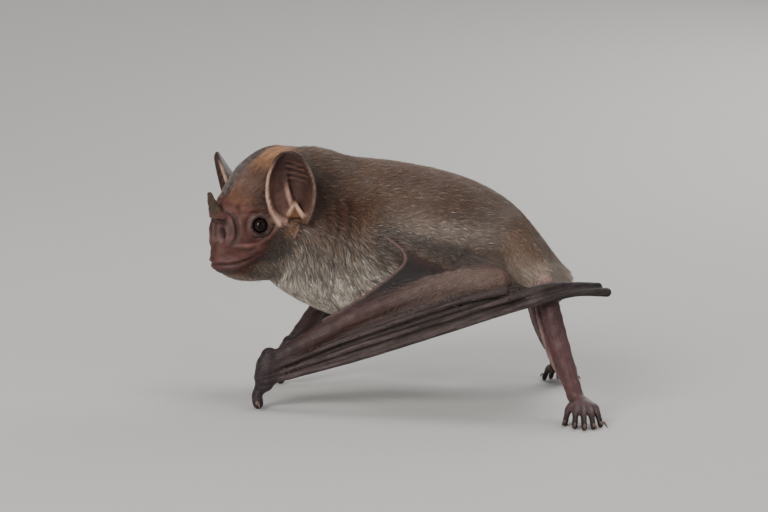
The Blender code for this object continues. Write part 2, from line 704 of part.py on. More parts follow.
def build_arm(arm):
    """All pieces of one arm and its folded wing."""
    def fingers():
        return [lambda g, n=label: finger(arm, n, g) for label in FINGERS]

    upper = tidied(upper_arm(arm))
    assign(upper, BARE_ARM, 0.85)
    lower = forearm(arm)
    carve(lower, [lambda g: upper_arm(arm, g), lambda g: hand(arm, g)])
    assign(lower, BARE_ARM, 0.7)
    block = hand(arm)
    carve(block, [lambda g: thumb(arm, g)])
    assign(block, BARE_WING, 0.65)
    digit = thumb(arm)
    flatten_base(digit)
    assign(digit, BARE_WING, 0.65)
    claw = thumb_claw(arm)
    carve(claw, [lambda g: thumb(arm, g)])
    assign(claw, HORN, 0.35)
    for label in FINGERS:
        ray = finger(arm, label)
        near = [lambda g, n=n: finger(arm, n, g) for n in FINGERS if n < label]
        carve(ray, [lambda g: hand(arm, g), lambda g: forearm(arm, g)] + near)
        assign(ray, BARE_WING, 0.6)
    fold = wing_fold(arm)
    others = [lambda g, a=leg: shin(a, g) for leg in LEGS] + [torso]
    carve(fold, [lambda g: forearm(arm, g), lambda g: hand(arm, g),
                 lambda g: upper_arm(arm, g)] + fingers() + others)
    assign(fold, BARE_WING, 0.7)
    web = propatagium(arm)
    carve(web, [lambda g: forearm(arm, g), lambda g: upper_arm(arm, g), torso,
                lambda g: wing_fold(arm, g)])
    assign(web, BARE_WING, 0.7)


def build_leg(leg):
    """All pieces of one leg."""
    upper = thigh(leg)
    carve(upper, [lambda g: shin(leg, g)])
    assign(upper, COAT_BACK, 0.9)
    lower = shin(leg)
    carve(lower, [])
    assign(lower, BARE_LEG, 0.6)
    sole = foot(leg)
    carve(sole, [lambda g: shin(leg, g)])
    assign(sole, BARE_TOE, 0.55)
    for number in range(len(TOES)):
        assign(toe_claw(leg, number), HORN, 0.35)
    web = leg_web(leg)
    arm = ARMS[LEGS.index(leg)]
    carve(web, [lambda g: shin(leg, g), lambda g: thigh(leg, g), torso,
                lambda g: wing_fold(arm, g)])
    assign(web, BARE_WING, 0.7)


def build_tail_web():
    """The fringe between the legs, clear of legs and rump."""
    web = tail_web()
    others = [torso]
    others += [lambda g, a=leg: thigh(a, g) for leg in LEGS]
    others += [lambda g, a=leg: shin(a, g) for leg in LEGS]
    carve(web, others)
    assign(web, BARE_LEG, 0.7)


def main():
    """Clear the scene and build every solid."""
    for obj in list(bpy.data.objects):
        bpy.data.objects.remove(obj, do_unlink=True)
    build_body()
    for arm in ARMS:
        build_arm(arm)
    for leg in LEGS:
        build_leg(leg)
    build_tail_web()


main()
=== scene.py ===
"""Life-size still model of a common vampire bat: one skin, its coat, eyes and claws."""
from __future__ import annotations

import logging
from dataclasses import dataclass, field
from enum import Enum
from typing import Callable, Dict, List, Sequence, Tuple

import bpy
import numpy as np
from mathutils import Matrix, Vector


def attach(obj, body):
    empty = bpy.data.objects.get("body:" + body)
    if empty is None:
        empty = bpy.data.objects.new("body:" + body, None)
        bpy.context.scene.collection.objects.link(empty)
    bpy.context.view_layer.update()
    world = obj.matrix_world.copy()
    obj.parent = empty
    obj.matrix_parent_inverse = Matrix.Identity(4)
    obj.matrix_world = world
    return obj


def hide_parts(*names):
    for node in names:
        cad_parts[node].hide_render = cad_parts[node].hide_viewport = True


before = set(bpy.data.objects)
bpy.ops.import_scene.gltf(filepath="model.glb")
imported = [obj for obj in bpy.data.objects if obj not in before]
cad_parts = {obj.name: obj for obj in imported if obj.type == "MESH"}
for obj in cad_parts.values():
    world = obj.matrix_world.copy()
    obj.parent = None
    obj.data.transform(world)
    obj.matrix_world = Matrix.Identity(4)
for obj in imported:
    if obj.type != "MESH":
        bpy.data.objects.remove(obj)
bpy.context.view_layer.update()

LOG = logging.getLogger("bat")
MM = 0.001
SHIFT = np.array([-29.99, -4.9, 0.0])     # design frame to model frame, mm
FAR_OFF = 6.0                             # stand-in distance away from a part, mm
OWN_SIDE = -2.0                           # how far a wing's own side reaches past the middle, mm
Array = np.ndarray
Rows = Sequence[Sequence[float]]
Three = Tuple[float, float, float]
Form = Callable[[Array], Array]           # a value for each point
Parts = Dict[str, Array]                  # such values by the name of the part
Piece = bpy.types.Object
Material = bpy.types.Material


# ---- small tools ----

def unit(vector: Array) -> Array:
    """Return vectors scaled to length one along the last axis."""
    vector = np.asarray(vector, float)
    return vector / np.maximum(np.linalg.norm(vector, axis=-1, keepdims=True), 1e-12)


def step(value: Array, low: float, high: float) -> Array:
    """Smooth step: 0 below low, 1 above high, 3t^2 - 2t^3 between."""
    t = np.clip((value - low) / (high - low), 0.0, 1.0)
    return t * t * (3.0 - 2.0 * t)


def curve(rows: Rows, count: int) -> Array:
    """Catmull-Rom curve through rows, at count even steps of row number.

    Args:
        rows: stations, any number of columns.
        count: number of samples.
    Returns:
        The samples as an array of count rows.
    """
    rows = np.asarray(rows, float)
    padded = np.vstack([2 * rows[0] - rows[1], rows, 2 * rows[-1] - rows[-2]])
    place = np.linspace(0, len(rows) - 1, count)
    low = np.minimum(place.astype(int), len(rows) - 2)
    t = (place - low)[:, None]
    p0, p1, p2, p3 = (padded[low + k] for k in range(4))
    return 0.5 * (2 * p1 + (p2 - p0) * t + (2 * p0 - 5 * p1 + 4 * p2 - p3) * t ** 2
                  + (3 * p1 - p0 - 3 * p2 + p3) * t ** 3)


def smin(a: Array, b: Array, k: float) -> Array:
    """Smooth union: the lesser of a and b, rounded over a width k by a quadratic."""
    h = np.maximum(k - np.abs(a - b), 0.0) / k
    return np.minimum(a, b) - h * h * k * 0.25


def smax(a: Array, b: Array, k: float) -> Array:
    """Smooth intersection, the mirror of smin."""
    return -smin(-a, -b, k)


def noise3(points: Array, scale: float, seed: int = 0) -> Array:
    """Smooth value noise from -1 to 1: hashed lattice values blended by smooth steps.

    Args:
        points: places, mm.
        scale: size of a lattice cell, mm.
        seed: picks one of many patterns.
    Returns:
        One value per point.
    """
    place = points / scale + seed * 17.31
    base = np.floor(place).astype(np.int64)
    t = place - base
    t = t * t * (3 - 2 * t)
    total = np.zeros(len(points))
    for corner in range(8):
        bit = np.array([corner & 1, corner >> 1 & 1, corner >> 2 & 1])
        cell = base + bit
        code = cell[:, 0] * 73856093 ^ cell[:, 1] * 19349663 ^ cell[:, 2] * 83492791
        code = (code ^ (code >> 13)) * 1274126177 & 0x7FFFFFFF
        weight = np.prod(np.where(bit, t, 1 - t), axis=1)
        total += weight * (code / 0x3FFFFFFF - 1.0)
    return total


# ---- distance to simple forms ----

def foot_on(p: Array, a: Array, b: Array) -> Tuple[Array, Array]:
    """Share along the line from a to b nearest to each point, and the gap from there.

    Args:
        p: places, mm.
        a: start of the line.
        b: end of the line.
    Returns:
        The share and the gap of each point.
    """
    run = b[:3] - a[:3]
    gap = p - a[:3]
    t = np.clip(gap @ run / max(run @ run, 1e-12), 0, 1)
    return t, gap - t[:, None] * run


def near(points: Array, low: Array, high: Array, form: Form,
         reach: float = 4.0) -> Array:
    """Evaluate a form only inside its box grown by reach, and far off elsewhere.

    Args:
        points: places, mm.
        low: low corner of the box.
        high: high corner of the box.
        form: distance to evaluate inside it.
        reach: how far the box is grown.
    Returns:
        Signed distance per point.
    """
    inside = np.all((points > low - reach) & (points < high + reach), axis=1)
    out = np.full(len(points), FAR_OFF)
    if inside.any():
        out[inside] = np.minimum(form(points[inside]), FAR_OFF)
    return out


def rod(points: Array, path: Array, blend: float = 0.0) -> Array:
    """Distance to a chain of tapered rods.

    Each rod is the set of balls whose centre and radius run straight from one station to
    the next.

    Args:
        points: places, mm.
        path: stations of x, y, z, radius.
        blend: width of the rounding between rods, 0 for none.
    Returns:
        Signed distance per point.
    """
    def chain(p: Array) -> Array:
        """Nearest rod of the chain.

        Args:
            p: places, mm.
        Returns:
            Signed distance per point.
        """
        best = np.full(len(p), FAR_OFF)
        for a, b in zip(path[:-1], path[1:]):
            t, gap = foot_on(p, a, b)
            dist = np.sqrt(np.einsum("ij,ij->i", gap, gap)) - (a[3] + (b[3] - a[3]) * t)
            best = smin(best, dist, blend) if blend else np.minimum(best, dist)
        return best
    reach = path[:, 3:4]
    return near(points, (path[:, :3] - reach).min(0), (path[:, :3] + reach).max(0), chain)


def relief(points: Array, path: Array, width: float) -> Array:
    """Height of a soft ridge or furrow along a line: h exp(-(gap / width)^2).

    Args:
        points: places, mm.
        path: stations of x, y, z, height; a furrow has its heights below zero.
        width: half width, mm.
    Returns:
        Height per point, to be taken from the distance.
    """
    spread = 3 * width
    pick = np.all((points > path[:, :3].min(0) - spread)
                  & (points < path[:, :3].max(0) + spread), axis=1)
    p, out = points[pick], np.zeros(len(points))
    best, high = np.full(len(p), FAR_OFF), np.zeros(len(p))
    for a, b in zip(path[:-1], path[1:]):
        t, gap = foot_on(p, a, b)
        gap = np.linalg.norm(gap, axis=1)
        high = np.where(gap < best, a[3] + (b[3] - a[3]) * t, high)
        best = np.minimum(best, gap)
    out[pick] = high * np.exp(-(best / width) ** 2)
    return out


def ball(points: Array, centre: Array, axes: Array, radii: Sequence[float]) -> Array:
    """Distance to an ellipsoid, by its scaled length over the length of its gradient.

    Args:
        points: places, mm.
        centre: middle.
        axes: unit axes, one per row.
        radii: radius along each axis.
    Returns:
        Signed distance per point.
    """
    radii = np.asarray(radii, float)

    def form(p: Array) -> Array:
        """The ellipsoid itself."""
        q = (p - centre) @ np.asarray(axes).T
        k0 = np.linalg.norm(q / radii, axis=1)
        k1 = np.linalg.norm(q / radii ** 2, axis=1)
        return k0 * (k0 - 1.0) / np.maximum(k1, 1e-9)
    return near(points, centre - radii.max(), centre + radii.max(), form)


def barrel(points: Array, origin: Array, axes: Array, stations: Array) -> Array:
    """Distance to a body given by oval sections along a straight axis.

    The section at a place along the axis has a middle, a half height and a half width; the
    distance is the radial gap to that oval, joined to the gap beyond the ends.

    Args:
        points: places, mm.
        origin: zero of the axis.
        axes: rows are the run, up and side directions.
        stations: dense rows of run, top, bottom, half width, middle side offset.
    Returns:
        Signed distance per point.
    """
    local = (points - origin) @ np.asarray(axes).T
    run = np.clip(local[:, 0], stations[0, 0], stations[-1, 0])
    top, low, wide, mid = (np.interp(run, stations[:, 0], stations[:, k]) for k in range(1, 5))
    up = local[:, 1] - (top + low) / 2
    side = local[:, 2] - mid
    length = np.hypot(up, side)
    safe = np.maximum(length, 1e-6)
    radial = length - 1.0 / np.sqrt((up / safe / ((top - low) / 2)) ** 2
                                    + (side / safe / wide) ** 2)
    beyond = np.abs(local[:, 0] - run)
    return np.where(beyond > 0, np.hypot(np.maximum(radial, 0), beyond) + np.minimum(radial, 0)
                    * (beyond < 0.01), radial)


def plate(points: Array, grid: Array, half: Array) -> Array:
    """Distance to a thin curved plate: to the nearest of its triangles, less half its thickness.

    Args:
        points: places, mm.
        grid: rows by columns by 3 middle surface.
        half: half thickness, a number or one per grid point.
    Returns:
        Signed distance per point.
    """
    half = np.broadcast_to(np.asarray(half, float), grid.shape[:2])
    reach = 3.2

    def form(p: Array) -> Array:
        """Nearest triangle of the net, less its half thickness.

        Args:
            p: places, mm.
        Returns:
            Signed distance per point.
        """
        best = np.full(len(p), FAR_OFF)
        for i, j in np.ndindex(grid.shape[0] - 1, grid.shape[1] - 1):
            quad = [(i, j), (i, j + 1), (i + 1, j + 1), (i + 1, j)]
            for pick in ((0, 1, 2), (0, 2, 3)):
                corner = np.array([grid[quad[k]] for k in pick])
                thick = np.mean([half[quad[k]] for k in pick])
                box = np.all((p > corner.min(0) - reach) & (p < corner.max(0) + reach), axis=1)
                if box.any():
                    best[box] = np.minimum(best[box], triangle(p[box], *corner) - thick)
        return best
    flat = grid.reshape(-1, 3)
    return near(points, flat.min(0), flat.max(0), form)


def triangle(p: Array, a: Array, b: Array, c: Array) -> Array:
    """Distance from points to one triangle: its plane inside, its edges outside.

    Args:
        p: places, mm.
        a: first corner.
        b: second corner.
        c: third corner.
    Returns:
        Unsigned distance per point.
    """
    normal = np.cross(b - a, a - c)
    inside = np.zeros(len(p))
    edge = np.full(len(p), 1e9)
    for start, end in ((a, b), (b, c), (c, a)):
        inside += np.sign((p - start) @ np.cross(end - start, normal))
        rest = foot_on(p, start, end)[1]
        edge = np.minimum(edge, np.einsum("ij,ij->i", rest, rest))
    flat = (p - a) @ normal
    flat = flat * flat / max(normal @ normal, 1e-12)
    return np.sqrt(np.where(inside < 2.0, edge, flat))


def ruled(one: Array, other: Array, count: int) -> Array:
    """Grid of straight lines from the points of one curve to those of another."""
    s = np.linspace(0, 1, count)[None, :, None]
    return one[:, None] * (1 - s) + other[:, None] * s


# ---- anatomy ----

UP = np.array([0.0, 0.0, 1.0])
TETRA = np.array([(1, -1, -1), (-1, -1, 1), (-1, 1, -1), (1, 1, 1)], float)


@dataclass
class Head:
    """Head turned toward the bat's left; sizes in mm in the head's own frame."""

    origin: Array = field(default_factory=lambda: np.array([-0.3, -4.1, 38.7]))
    yaw: float = np.radians(40.0)
    eye_radius: float = 1.95
    eye_seat: Three = (7.7, 6.1, -0.9)
    coat: float = 0.45
    # forward, top, bottom, half width, middle
    skull: Rows = ((-8.6, 8.5, -4.0, 5.2, 0), (-6.0, 14.2, -8.0, 8.4, 0),
                   (-2.0, 16.4, -11.0, 9.6, 0), (2.0, 15.9, -12.3, 9.9, 0),
                   (6.0, 13.4, -10.6, 9.0, 0), (9.0, 10.0, -9.6, 7.5, 0),
                   (12.0, 5.5, -9.6, 5.2, 0), (14.0, 3.2, -9.2, 3.2, 0))
    jaw: Rows = ((1.5, -6.0, -13.6, 6.0, 0), (5.5, -6.4, -13.9, 5.9, 0),
                 (9.0, -6.6, -13.6, 5.0, 0), (12.0, -7.4, -12.7, 3.8, 0),
                 (13.6, -8.2, -12.0, 2.7, 0))

    def __post_init__(self) -> None:
        """Work out the head's directions."""
        self.ahead = np.array([-np.cos(self.yaw), -np.sin(self.yaw), 0.0])
        self.left = np.array([np.sin(self.yaw), -np.cos(self.yaw), 0.0])
        self.axes = np.array([self.ahead, UP, self.left])

    def at(self, ahead: float, side: float, up: float) -> Array:
        """Point from head-frame distances."""
        return self.origin + self.ahead * ahead + self.left * side + UP * up

    def turn(self, vector: Sequence[float]) -> Array:
        """Direction from head-frame components ahead, side, up."""
        return self.ahead * vector[0] + self.left * vector[1] + UP * vector[2]

    def local(self, points: Array) -> Array:
        """Head-frame ahead, side, up of points."""
        gap = points - self.origin
        return np.stack([gap @ self.ahead, gap @ self.left, gap @ UP], axis=1)

    def eye(self, side: int) -> Tuple[Array, Array]:
        """Middle of the eye of one side and the direction it looks."""
        ahead, out, up = self.eye_seat
        return self.at(ahead, out * side, up), unit(self.turn((0.5, 0.86 * side, 0.04)))


@dataclass
class Ear:
    """One rounded ear cup with cross ribs."""

    head: Head
    side: int
    root: Three
    tip: Three
    facing: Three
    # share of length, half width, depth of cup
    form: Rows = ((0.0, 2.9, 3.3), (0.18, 4.2, 3.8), (0.4, 5.05, 3.4), (0.62, 4.85, 2.45),
                  (0.82, 3.7, 1.45), (0.95, 2.3, 0.75), (1.0, 1.1, 0.3))

    def __post_init__(self) -> None:
        """Work out the ear's directions."""
        self.base = self.head.at(*self.root)
        end = self.head.at(*self.tip)
        self.length = float(np.linalg.norm(end - self.base))
        self.axis = unit(end - self.base)
        face = self.head.turn(self.facing)
        self.open = unit(face - self.axis * (face @ self.axis))
        self.across = np.cross(self.axis, self.open)
        self.front = float(np.sign(self.across @ self.head.ahead))

    def grid(self, rows: int = 13, cols: int = 11) -> Array:
        """Middle surface: width and depth from the form, depth growing as the square across.

        Args:
            rows: number of sections along the ear.
            cols: number of points across it.
        Returns:
            A net of points.
        """
        form = curve(self.form, rows)
        v = np.linspace(-1, 1, cols)
        centre = self.base + self.axis * (form[:, :1] * self.length)
        return (centre[:, None] + self.across * (form[:, 1:2] * v)[..., None]
                + self.open * (form[:, 2:3] * (v ** 2 - 0.35))[..., None])

    def place(self, p: Array) -> Tuple[Array, Array, Array, Array]:
        """Share along the ear, share ahead of its middle, height over the cup, its depth.

        Args:
            p: places, mm.
        Returns:
            The four, one value per point each.
        """
        gap = p - self.base
        u = gap @ self.axis / self.length
        form = curve(self.form, 30)
        wide = np.maximum(np.interp(u, form[:, 0], form[:, 1]), 0.5)
        deep = np.interp(u, form[:, 0], form[:, 2])
        return u, gap @ self.across * self.front / wide, gap @ self.open, deep

    def spot(self, u: float, v: float, out: float = 0.0) -> Array:
        """Point of the cup at share u of its length and v across, moved out of the mouth."""
        form = curve(self.form, 41)[int(round(u * 40))]
        return (self.base + self.axis * (form[0] * self.length) + self.across * (form[1] * v)
                + self.open * (form[2] * (v * v - 0.35) + out))

    def strand(self, rows: Rows) -> Array:
        """Smooth rod through rows of share along, share ahead, height over the cup, radius."""
        return curve([(*self.spot(u, self.front * w, o), r) for u, w, o, r in rows], 9)

    def distance(self, points: Array) -> Array:
        """Thin cup with a rolled rim, a thick root, cross ribs and a fold down its middle.

        Args:
            points: places, mm.
        Returns:
            Signed distance per point.
        """
        grid = self.grid()
        v = np.linspace(-1, 1, grid.shape[1])
        u = np.linspace(0, 1, grid.shape[0])
        half = 0.35 + 0.05 * np.abs(v)[None] ** 6 + 0.35 * (1 - u)[:, None] ** 3
        d = plate(points, grid, half)
        rim = np.vstack([grid[:, 0], grid[-1, 1:-1], grid[::-1, -1]])
        for path in (np.column_stack([rim, np.full(len(rim), 0.38)]), self.hem()):
            d = smin(d, rod(points, path), 0.3)
        for top in (0.66, 0.72, 0.78, 0.84):
            rib = [(*self.spot(top, -self.front * w, 0.35), 0.26) for w in (-0.15, 0.2, 0.5, 0.8)]
            d = smin(d, rod(points, curve(rib, 7)), 0.3)
        ridge = self.strand(((0.58, 0.12, 0.35, 0.3), (0.45, 0.1, 0.7, 0.42),
                             (0.32, 0.02, 1.0, 0.5), (0.22, -0.12, 1.4, 0.5)))
        return smin(smin(d, rod(points, ridge), 0.6), rod(points, self.root_rod()), 0.5)

    def root_rod(self) -> Array:
        """Thick fleshy front root of the ear."""
        return self.strand(((0.34, 0.97, 0.1, 0.45), (0.2, 0.95, 0.2, 0.65),
                            (0.06, 0.85, 0.5, 0.85), (0.0, 0.6, 1.2, 0.8)))

    def hem(self) -> Array:
        """Thin fold of skin running down from the rear root of the ear."""
        rows = ((-1.0, 9.3, 0.6), (-0.2, 9.9, -0.7), (0.2, 10.05, -1.9), (0.9, 9.9, -3.3))
        return curve([(*self.head.at(f, w * self.side, up), 0.28) for f, w, up in rows], 7)

    def tragus_edges(self) -> List[Array]:
        """Two edges of the tragus: root to blunt point, front first."""
        top = self.spot(0.26, -0.16 * self.front, 2.6)
        feet = [self.spot(0.08, w * self.front, 1.7) for w in (0.22, -0.7)]
        return [curve([(*foot, 0.5), (*(foot * 0.4 + top * 0.6 + self.open * 0.25), 0.42),
                       (*top, 0.38)], 6) for foot in feet]

    def tragus(self, points: Array) -> Array:
        """Short broad flap in the mouth of the ear: two thick edges meeting in a blunt point.

        Args:
            points: places, mm.
        Returns:
            Signed distance per point.
        """
        one, two = self.tragus_edges()
        top = one[-1, :3]
        grid = np.array([[one[0, :3], (one[0, :3] + two[0, :3]) / 2, two[0, :3]],
                         [top, top + self.axis * 0.01, top]])
        return smin(smin(rod(points, one), rod(points, two), 0.3), plate(points, grid, 0.34), 0.4)


class Tag(Enum):
    """Names of the two sides."""

    LEFT = "left"
    RIGHT = "right"


@dataclass
class Arm:
    """One arm with its folded wing, in a frame along the forearm."""

    tag: Tag
    side: int
    shoulder: Three
    elbow: Three
    wrist: Three
    hang_hint: Three
    bend: Three
    web_edge: Rows
    # distance along the forearm, toward the fingers, outward; radius
    forearm: Rows = ((1.5, 0.0, 0.0, 2.05), (8.0, -1.4, 0.0, 1.95), (22.0, -3.5, 0.2, 2.15),
                     (37.0, -3.9, 0.2, 2.4), (47.5, -2.3, 0.0, 2.65), (52.5, -0.4, 0.0, 2.5))
    third: Rows = ((0.6, 3.6, 1.2, 0.62), (19.0, 4.7, 2.6, 0.66), (39.0, 5.1, 3.8, 0.68),
                   (50.0, 5.1, 5.0, 0.72), (60.0, 5.1, 6.3, 1.02), (67.0, 6.2, 6.6, 0.76),
                   (73.2, 8.2, 6.6, 1.0))
    fourth: Rows = ((0.8, 2.3, 1.4, 0.6), (19.5, 2.3, 2.8, 0.62), (40.0, 2.6, 4.2, 0.64),
                    (50.5, 2.7, 5.3, 0.68), (60.5, 2.9, 5.9, 0.9), (67.0, 4.6, 5.2, 0.72),
                    (72.4, 6.7, 4.9, 0.8))
    fifth: Rows = ((1.0, 1.0, 1.5, 0.55), (20.0, 0.0, 2.8, 0.6), (41.0, 0.1, 3.9, 0.62),
                   (52.6, 0.9, 4.6, 0.95))

    def __post_init__(self) -> None:
        """Work out the forearm frame."""
        self.s, self.e, self.w, hint = (np.array(v, float) for v in (
            self.shoulder, self.elbow, self.wrist, self.hang_hint))
        self.run = unit(self.e - self.w)
        self.hang = unit(hint - self.run * (hint @ self.run))
        self.out = np.cross(self.run, self.hang)
        if self.out[1] * self.side < 0:
            self.out = -self.out

    def at(self, run: float, hang: float, out: float) -> Array:
        """Point from distances along the forearm, toward the fingers and outward."""
        return self.w + self.run * run + self.hang * hang + self.out * out

    def path(self, rows: Rows, count: int) -> Array:
        """Smooth stations x, y, z, radius of a row table; the last two of seven rows bend.

        Args:
            rows: stations along the wing, below it, out, radius.
            count: number of samples.
        Returns:
            The samples, count rows.
        """
        placed = [[*self.at(s, h, o), r] for s, h, o, r in rows]
        knuckle, tip_length, drop_over_tip = 4, 13.2, 3.1
        for k in range(knuckle + 1, len(rows)) if len(rows) == 7 else ():
            share = (rows[k][0] - rows[knuckle][0]) / tip_length
            drop = rows[k][1] - rows[knuckle][1] - drop_over_tip * share
            away = (rows[k][2] - rows[knuckle][2]) * self.side
            place = np.array(placed[knuckle][:3]) + np.array(self.bend) * share \
                + np.array([0, away, -drop])
            placed[k] = [*place, rows[k][3]]
        return curve(placed, count)

    def fold_grid(self, shift: float = 0.0) -> Array:
        """Middle surface of the folded wing skin between the forearm and the third finger.

        Args:
            shift: how far the low edge is moved outward, mm.
        Returns:
            A net of points.
        """
        s = np.linspace(3.0, 56.0, 13)
        bow = curve([(r[0], r[1]) for r in self.forearm], 60)
        top = np.interp(s, bow[:, 0], bow[:, 1])
        top = np.where(s > 44.0, top + (s - 44.0) * 0.25, top)
        third = np.array(self.third)
        low = np.interp(s, third[:, 0], third[:, 1]) + 0.3
        out = np.interp(s, third[:, 0], third[:, 2]) - 0.75 + shift
        t = np.linspace(0, 1, 5)
        hang = top[:, None] + (low - top)[:, None] * t
        away = out[:, None] * np.sqrt(np.minimum(t * 1.5, 1.0))
        return (self.w + self.run * (s[:, None] + 0 * t)[..., None]
                + self.hang * hang[..., None] + self.out * away[..., None])

    def web_grid(self) -> Array:
        """Web in front of the elbow, ruled from its free edge to the bones.

        Returns:
            A net of points.
        """
        t = np.linspace(0, 1, 13)
        bow = curve(np.array([self.at(s, h, o) for s, h, o, _ in self.forearm]), 40)
        inner = bow[(6 + np.minimum(t / 0.62, 1.0) * 31).astype(int)]
        back = np.clip((t - 0.62) / 0.38, 0, 1)[:, None]
        inner = inner * (1 - back) + (self.s + (self.e - self.s) * 0.1) * back
        return ruled(curve(self.web_edge, 13), inner, 6)


@dataclass
class Leg:
    """One hind leg; x, out and z of its joints."""

    tag: Tag
    side: int
    # x of the root and the tip of each toe, distance out of its tip
    toes: Rows = ((66.6, 65.2, 29.4), (67.7, 67.0, 32.2), (68.9, 68.9, 33.4),
                  (70.0, 71.0, 31.8), (71.0, 72.8, 28.8))
    toe_root: float = 25.6

    def __post_init__(self) -> None:
        """Place the joints."""
        self.hip = self.on(50.0, 6.0, 37.5)
        self.knee = self.on(59.6, 20.4, 29.4)
        self.shin_mid = self.on(63.3, 22.0, 17.5)
        self.ankle = self.on(67.7, 23.6, 5.2)
        self.sole = self.on(69.4, 26.4, 3.9)

    def on(self, x: float, out: float, z: float) -> Array:
        """Point at a distance out from the middle plane on this side."""
        return np.array([x, out * self.side, z])

    def toe(self, number: int) -> Array:
        """Stations of one toe, arched from the sole down to the floor.

        Args:
            number: which toe.
        Returns:
            Stations x, y, z, radius.
        """
        base, tip, out = self.toes[number]
        start, end = self.on(base, self.toe_root, 3.7), self.on(tip, out, 0.62)
        rows = [(*(start * (1 - t) + end * t + UP * lift), r) for t, lift, r in
                ((0, 0, 0.88), (0.25, 0.75, 0.72), (0.5, 0.95, 0.8), (0.75, 0.65, 0.62),
                 (1, 0, 0.62))]
        return curve(rows, 11)


# along, top, bottom, half width, middle side offset
TORSO_ROWS: Rows = ((-3.5, 44.0, 27.4, 4.6, -5.4), (1.5, 53.6, 23.6, 8.0, -3.8),
    (6.5, 55.2, 20.6, 9.8, -1.9), (11.0, 54.9, 18.6, 10.8, -0.9), (16.0, 53.5, 17.0, 12.0, -0.2),
    (23.0, 53.1, 16.2, 14.0, 0.0), (31.0, 52.3, 16.0, 15.6, 0.0), (39.0, 50.9, 17.0, 16.2, 0.0),
    (47.0, 48.2, 18.7, 15.9, 0.0), (54.0, 43.9, 20.6, 14.2, 0.0), (60.0, 37.4, 23.0, 11.2, 0.0),
    (64.5, 31.9, 25.2, 7.4, 0.0), (67.2, 29.2, 26.4, 4.2, 0.0))

# head frame: ahead, side, up, radii, blend
FACE_MASSES = (
    (10.6, 3.2, -5.6, (3.0, 2.6, 2.6), 1.6), (7.6, 5.3, -6.4, (4.0, 1.6, 1.9), 1.6),
    (9.6, 4.4, 2.4, (2.4, 2.2, 1.9), 1.6), (13.2, 0.0, -7.5, (2.0, 3.5, 2.3), 1.2))
